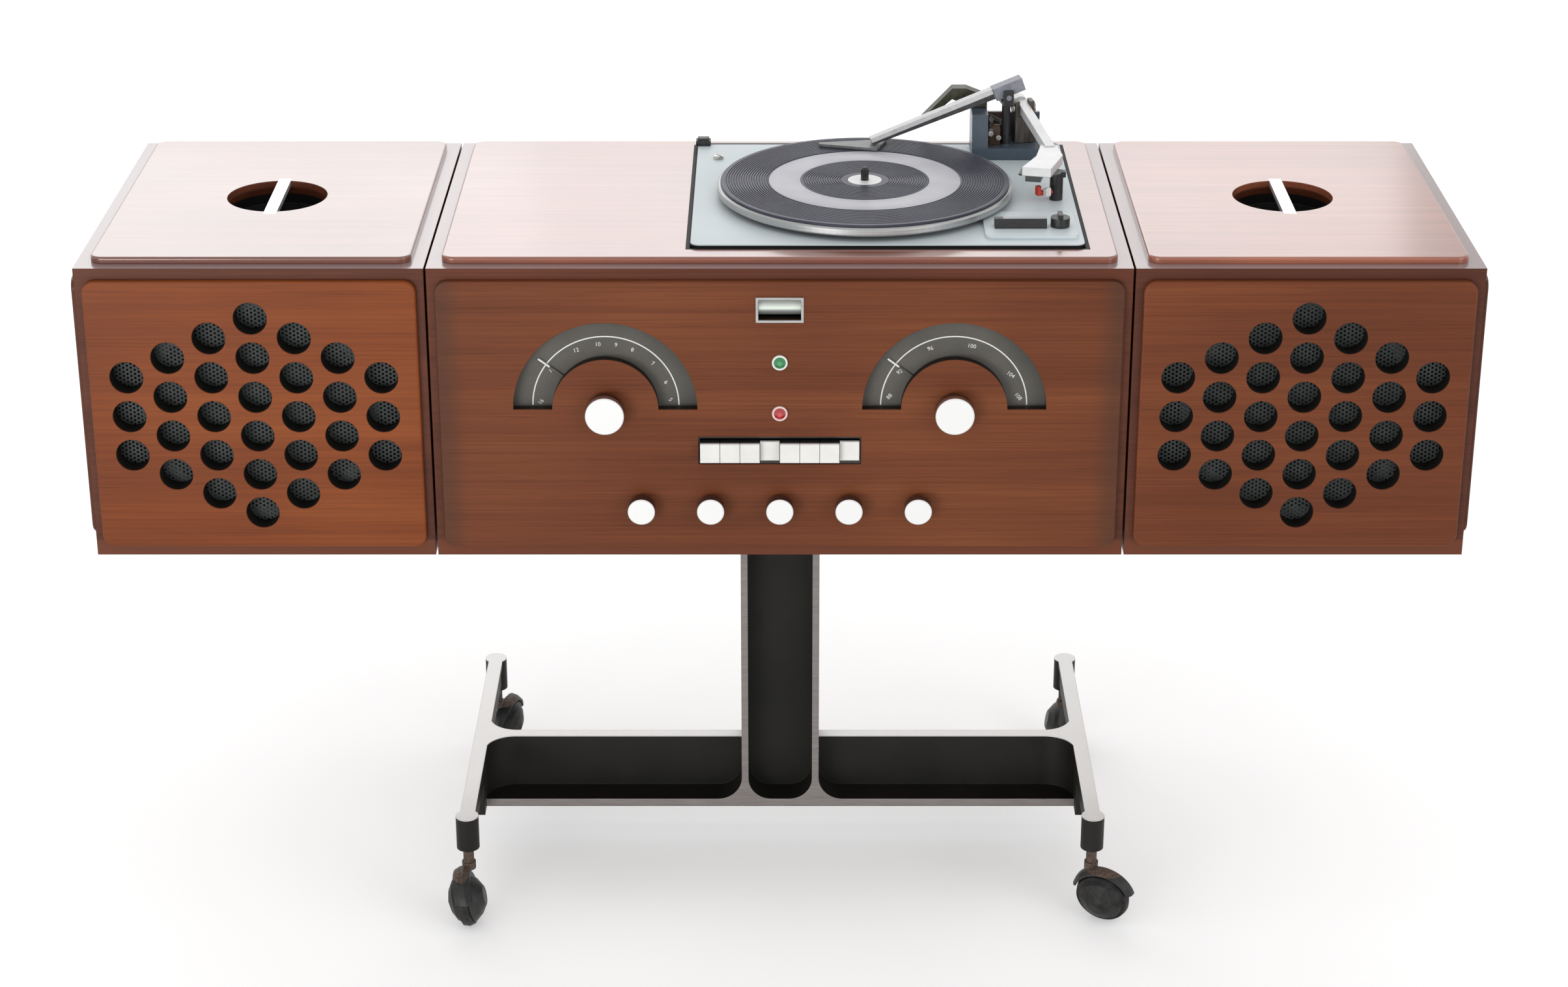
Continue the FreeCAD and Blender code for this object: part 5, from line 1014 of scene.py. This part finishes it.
clip_red = mottled("clip_red_moulding", 200, 3, (0.5, 0.03, 0.016), (0.68, 0.05, 0.026),
                   gloss=(0.28, 0.15), relief=(0.05, 0.1, 0.4), specular=0.5, coat_weight=0.3,
                   coat_roughness=0.1)
rest_turn = (0, 0, 25)
clip = bevelled_block("rest_red_clip", (15, 6, 4), 0.6)
choose(clip, lambda at, normal: normal.x < -0.9)
pull(-3, 0, 0)
choose(clip, lambda at, normal: normal.z > 0.9 and at.x < -7 * MM)
pull(0, 0, 5)
settle(clip, mm(241, -22, 665), rest_turn)
complete(clip, clip_red, "cabinet")
tab = bevelled_block("rest_white_tab", (5, 4, 8), 0.5)
choose(tab, lambda at, normal: normal.y < -0.9)
pull(0, -2, 1.5)
settle(tab, mm(240.5, -28.5, 664.5), rest_turn)
complete(tab, print_white, "cabinet")


# Controls of the changer: a start lever in a slot of the raised plate, black with a pale grip let into
# its top, and a black speed knob beside it.
lever_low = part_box("start_lever")[0]
ridge_pitch, grip_side, grip_front = 1.6 * MM, 7.4 * MM, 4.2 * MM
lever = Finish("start_lever_two_colour", specular=0.45)
across, forward, level = lever.parts(lever.lie(shift=(-lever_low.x, -lever_low.y, 0)))
fine = lever.noise(500)
ridges = (across * (math.tau / ridge_pitch)).math("SINE")
grip = lever.step(across, grip_side, grip_side + 0.4 * MM)
grip *= lever.step(forward, grip_front, grip_front + 0.4 * MM)
black = lever.ramp(fine, (0.009, 0.009, 0.01), (0.024, 0.024, 0.025))
pale = lever.ramp(fine, (0.36, 0.38, 0.39), (0.48, 0.5, 0.5))
lever.give(base_color=lever.blend(grip, black, pale), roughness=0.34 + fine * 0.18)
lever.relief(ridges * grip + fine * 0.3, 0.2, 0.25, 0.5)
dress("start_lever", lever)
dress("speed_knob", bakelite)


# Loudspeaker fronts: veneered boards pierced by a hexagon of round holes, whose walls are painted
# black. Behind each is a dark sheet of metal with fine punched holes, laid out like a honeycomb.
holes_half_width, holes_half_height = 135 * MM, 118 * MM
# The left front is given lighter, more orange tones than the right.
for side, tones in (("left", ((0.15, 0.0345, 0.0068), (0.222, 0.052, 0.01), (0.295, 0.076, 0.0156))),
                    ("right", ((0.118, 0.0302, 0.0092), (0.174, 0.0455, 0.0137), (0.227, 0.065, 0.0206)))):
    name = f"speaker_{side}_baffle"
    low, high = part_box(name)
    middle = (low + high) / 2
    front = Veneer(f"{name}_veneer", 0, tones, (low.x, 0, 0), specular=0.2, coat_weight=0.03,
                   coat_roughness=0.22)
    across, forward, level = front.parts()
    inside = (abs(across - middle.x) < holes_half_width) * (abs(level - middle.z) < holes_half_height)
    wall = front.step(forward, low.y + 0.8 * MM, low.y + 1.6 * MM) * inside
    front.give(
        base_color=front.blend(wall, front.stain, (0.008, 0.007, 0.006)),
        roughness=0.36 + front.fibres * 0.14 + wall * 0.3,
    )
    front.relief(front.fibres, 0.1, 0.12, 1.2)
    dress(name, front)

mesh_metal = Finish("perforated_dark_metal", specular=0.25)
patina = mesh_metal.noise(90)
speck = mesh_metal.noise(900, detail=3)
mesh_metal.give(
    base_color=mesh_metal.ramp(patina, (0.038, 0.044, 0.042), (0.07, 0.078, 0.075)),
    roughness=0.42 + patina * 0.15,
    metallic=0.1 + patina * 0.2,
)
mesh_metal.relief(speck, 0.1, 0.05)

hole_pitch, web = 3.8 * MM, 0.9 * MM
column_pitch = hole_pitch * math.cos(math.radians(30))
rows, column_pairs = 58, 38
field_width = (2 * column_pairs - 1) * column_pitch
field_height = (rows - 0.5) * hole_pitch
sheet_low, sheet_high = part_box("speaker_grilles")
sheet_corner = (-speaker_spread - field_width / 2, sheet_low.y + 0.1 * MM,
                (sheet_low.z + sheet_high.z) / 2 - field_height / 2)
sheet = begin("speaker_grille_left", bpy.ops.mesh.primitive_circle_add, vertices=6,
              radius=hole_pitch / math.sqrt(3), fill_type="NGON")
bpy.ops.transform.rotate(value=math.radians(90), orient_axis="Z", center_override=(0, 0, 0))
bpy.ops.mesh.inset(thickness=web)
bpy.ops.mesh.delete(type="FACE")
bpy.ops.object.mode_set(mode="OBJECT")
for count, offset in ((rows, (0, hole_pitch, 0)), (2, (column_pitch, hole_pitch / 2, 0)),
                      (column_pairs, (2 * column_pitch, 0, 0))):
    modify(sheet, "ARRAY", count=count, use_relative_offset=False, use_constant_offset=True,
           constant_offset_displace=offset, use_merge_vertices=True, merge_threshold=0.02 * MM)
modify(sheet, "SOLIDIFY", thickness=1.2 * MM, offset=-1)
settle(sheet, sheet_corner, (90, 0, 0))
twin = sheet.copy()
twin.data = sheet.data.copy()
twin.name = "speaker_grille_right"
bpy.context.collection.objects.link(twin)
settle(twin, (2 * speaker_spread, 0, 0))
for piece in (sheet, twin):
    complete(piece, mesh_metal, "cabinet")
    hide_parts("speaker_grilles")


# Carrying handles: a flat bright bar crosses the hand hole in each loudspeaker's top, over a black
# moulded cup.
bar = mottled("handle_bar_bright_metal", (60, 900, 900), 3, (0.74, 0.74, 0.74), (0.88, 0.88, 0.87),
              gloss=(0.26, 0.14), relief=(0.08, 0.08, 0.5), specular=0.5, metallic=0.7)
dress("speaker_handle_bars", bar)
dress("speaker_handle_cups", bakelite)


# Loudspeakers: a pressed steel basket with a magnet and a dark paper cone, bolted behind each front.
# Painted steel and paper share one dark grey finish.
basket = mottled("driver_steel_and_paper", 260, 5, (0.05, 0.05, 0.052), (0.12, 0.12, 0.12),
                 gloss=(0.5, 0.2), relief=(0.15, 0.2, 0.6), specular=0.4)
dress("speaker_drivers", basket)


# Works inside: a chassis tray with its can and transformer on the cabinet's floor, and the motor hung
# under the deck, all of zinc plated steel gone dull.
plated = Finish("chassis_plated_steel", specular=0.5)
spangle = plated.node("TexVoronoi", {"feature": "F1"}, {"Vector": plated.lie((140, 140, 140))}, out="Color")
dull = plated.noise(60)
zinc = plated.ramp(dull, (0.3, 0.29, 0.26), (0.44, 0.43, 0.4))
plated.give(
    base_color=plated.blend(0.25, zinc, spangle, "SOFT_LIGHT"),
    metallic=0.6 + dull * 0.2,
    roughness=0.36 + dull * 0.15,
)
plated.relief(dull, 0.08, 0.15, 0.7)
dress("amplifier_chassis", plated)
dress("turntable_motor", plated)
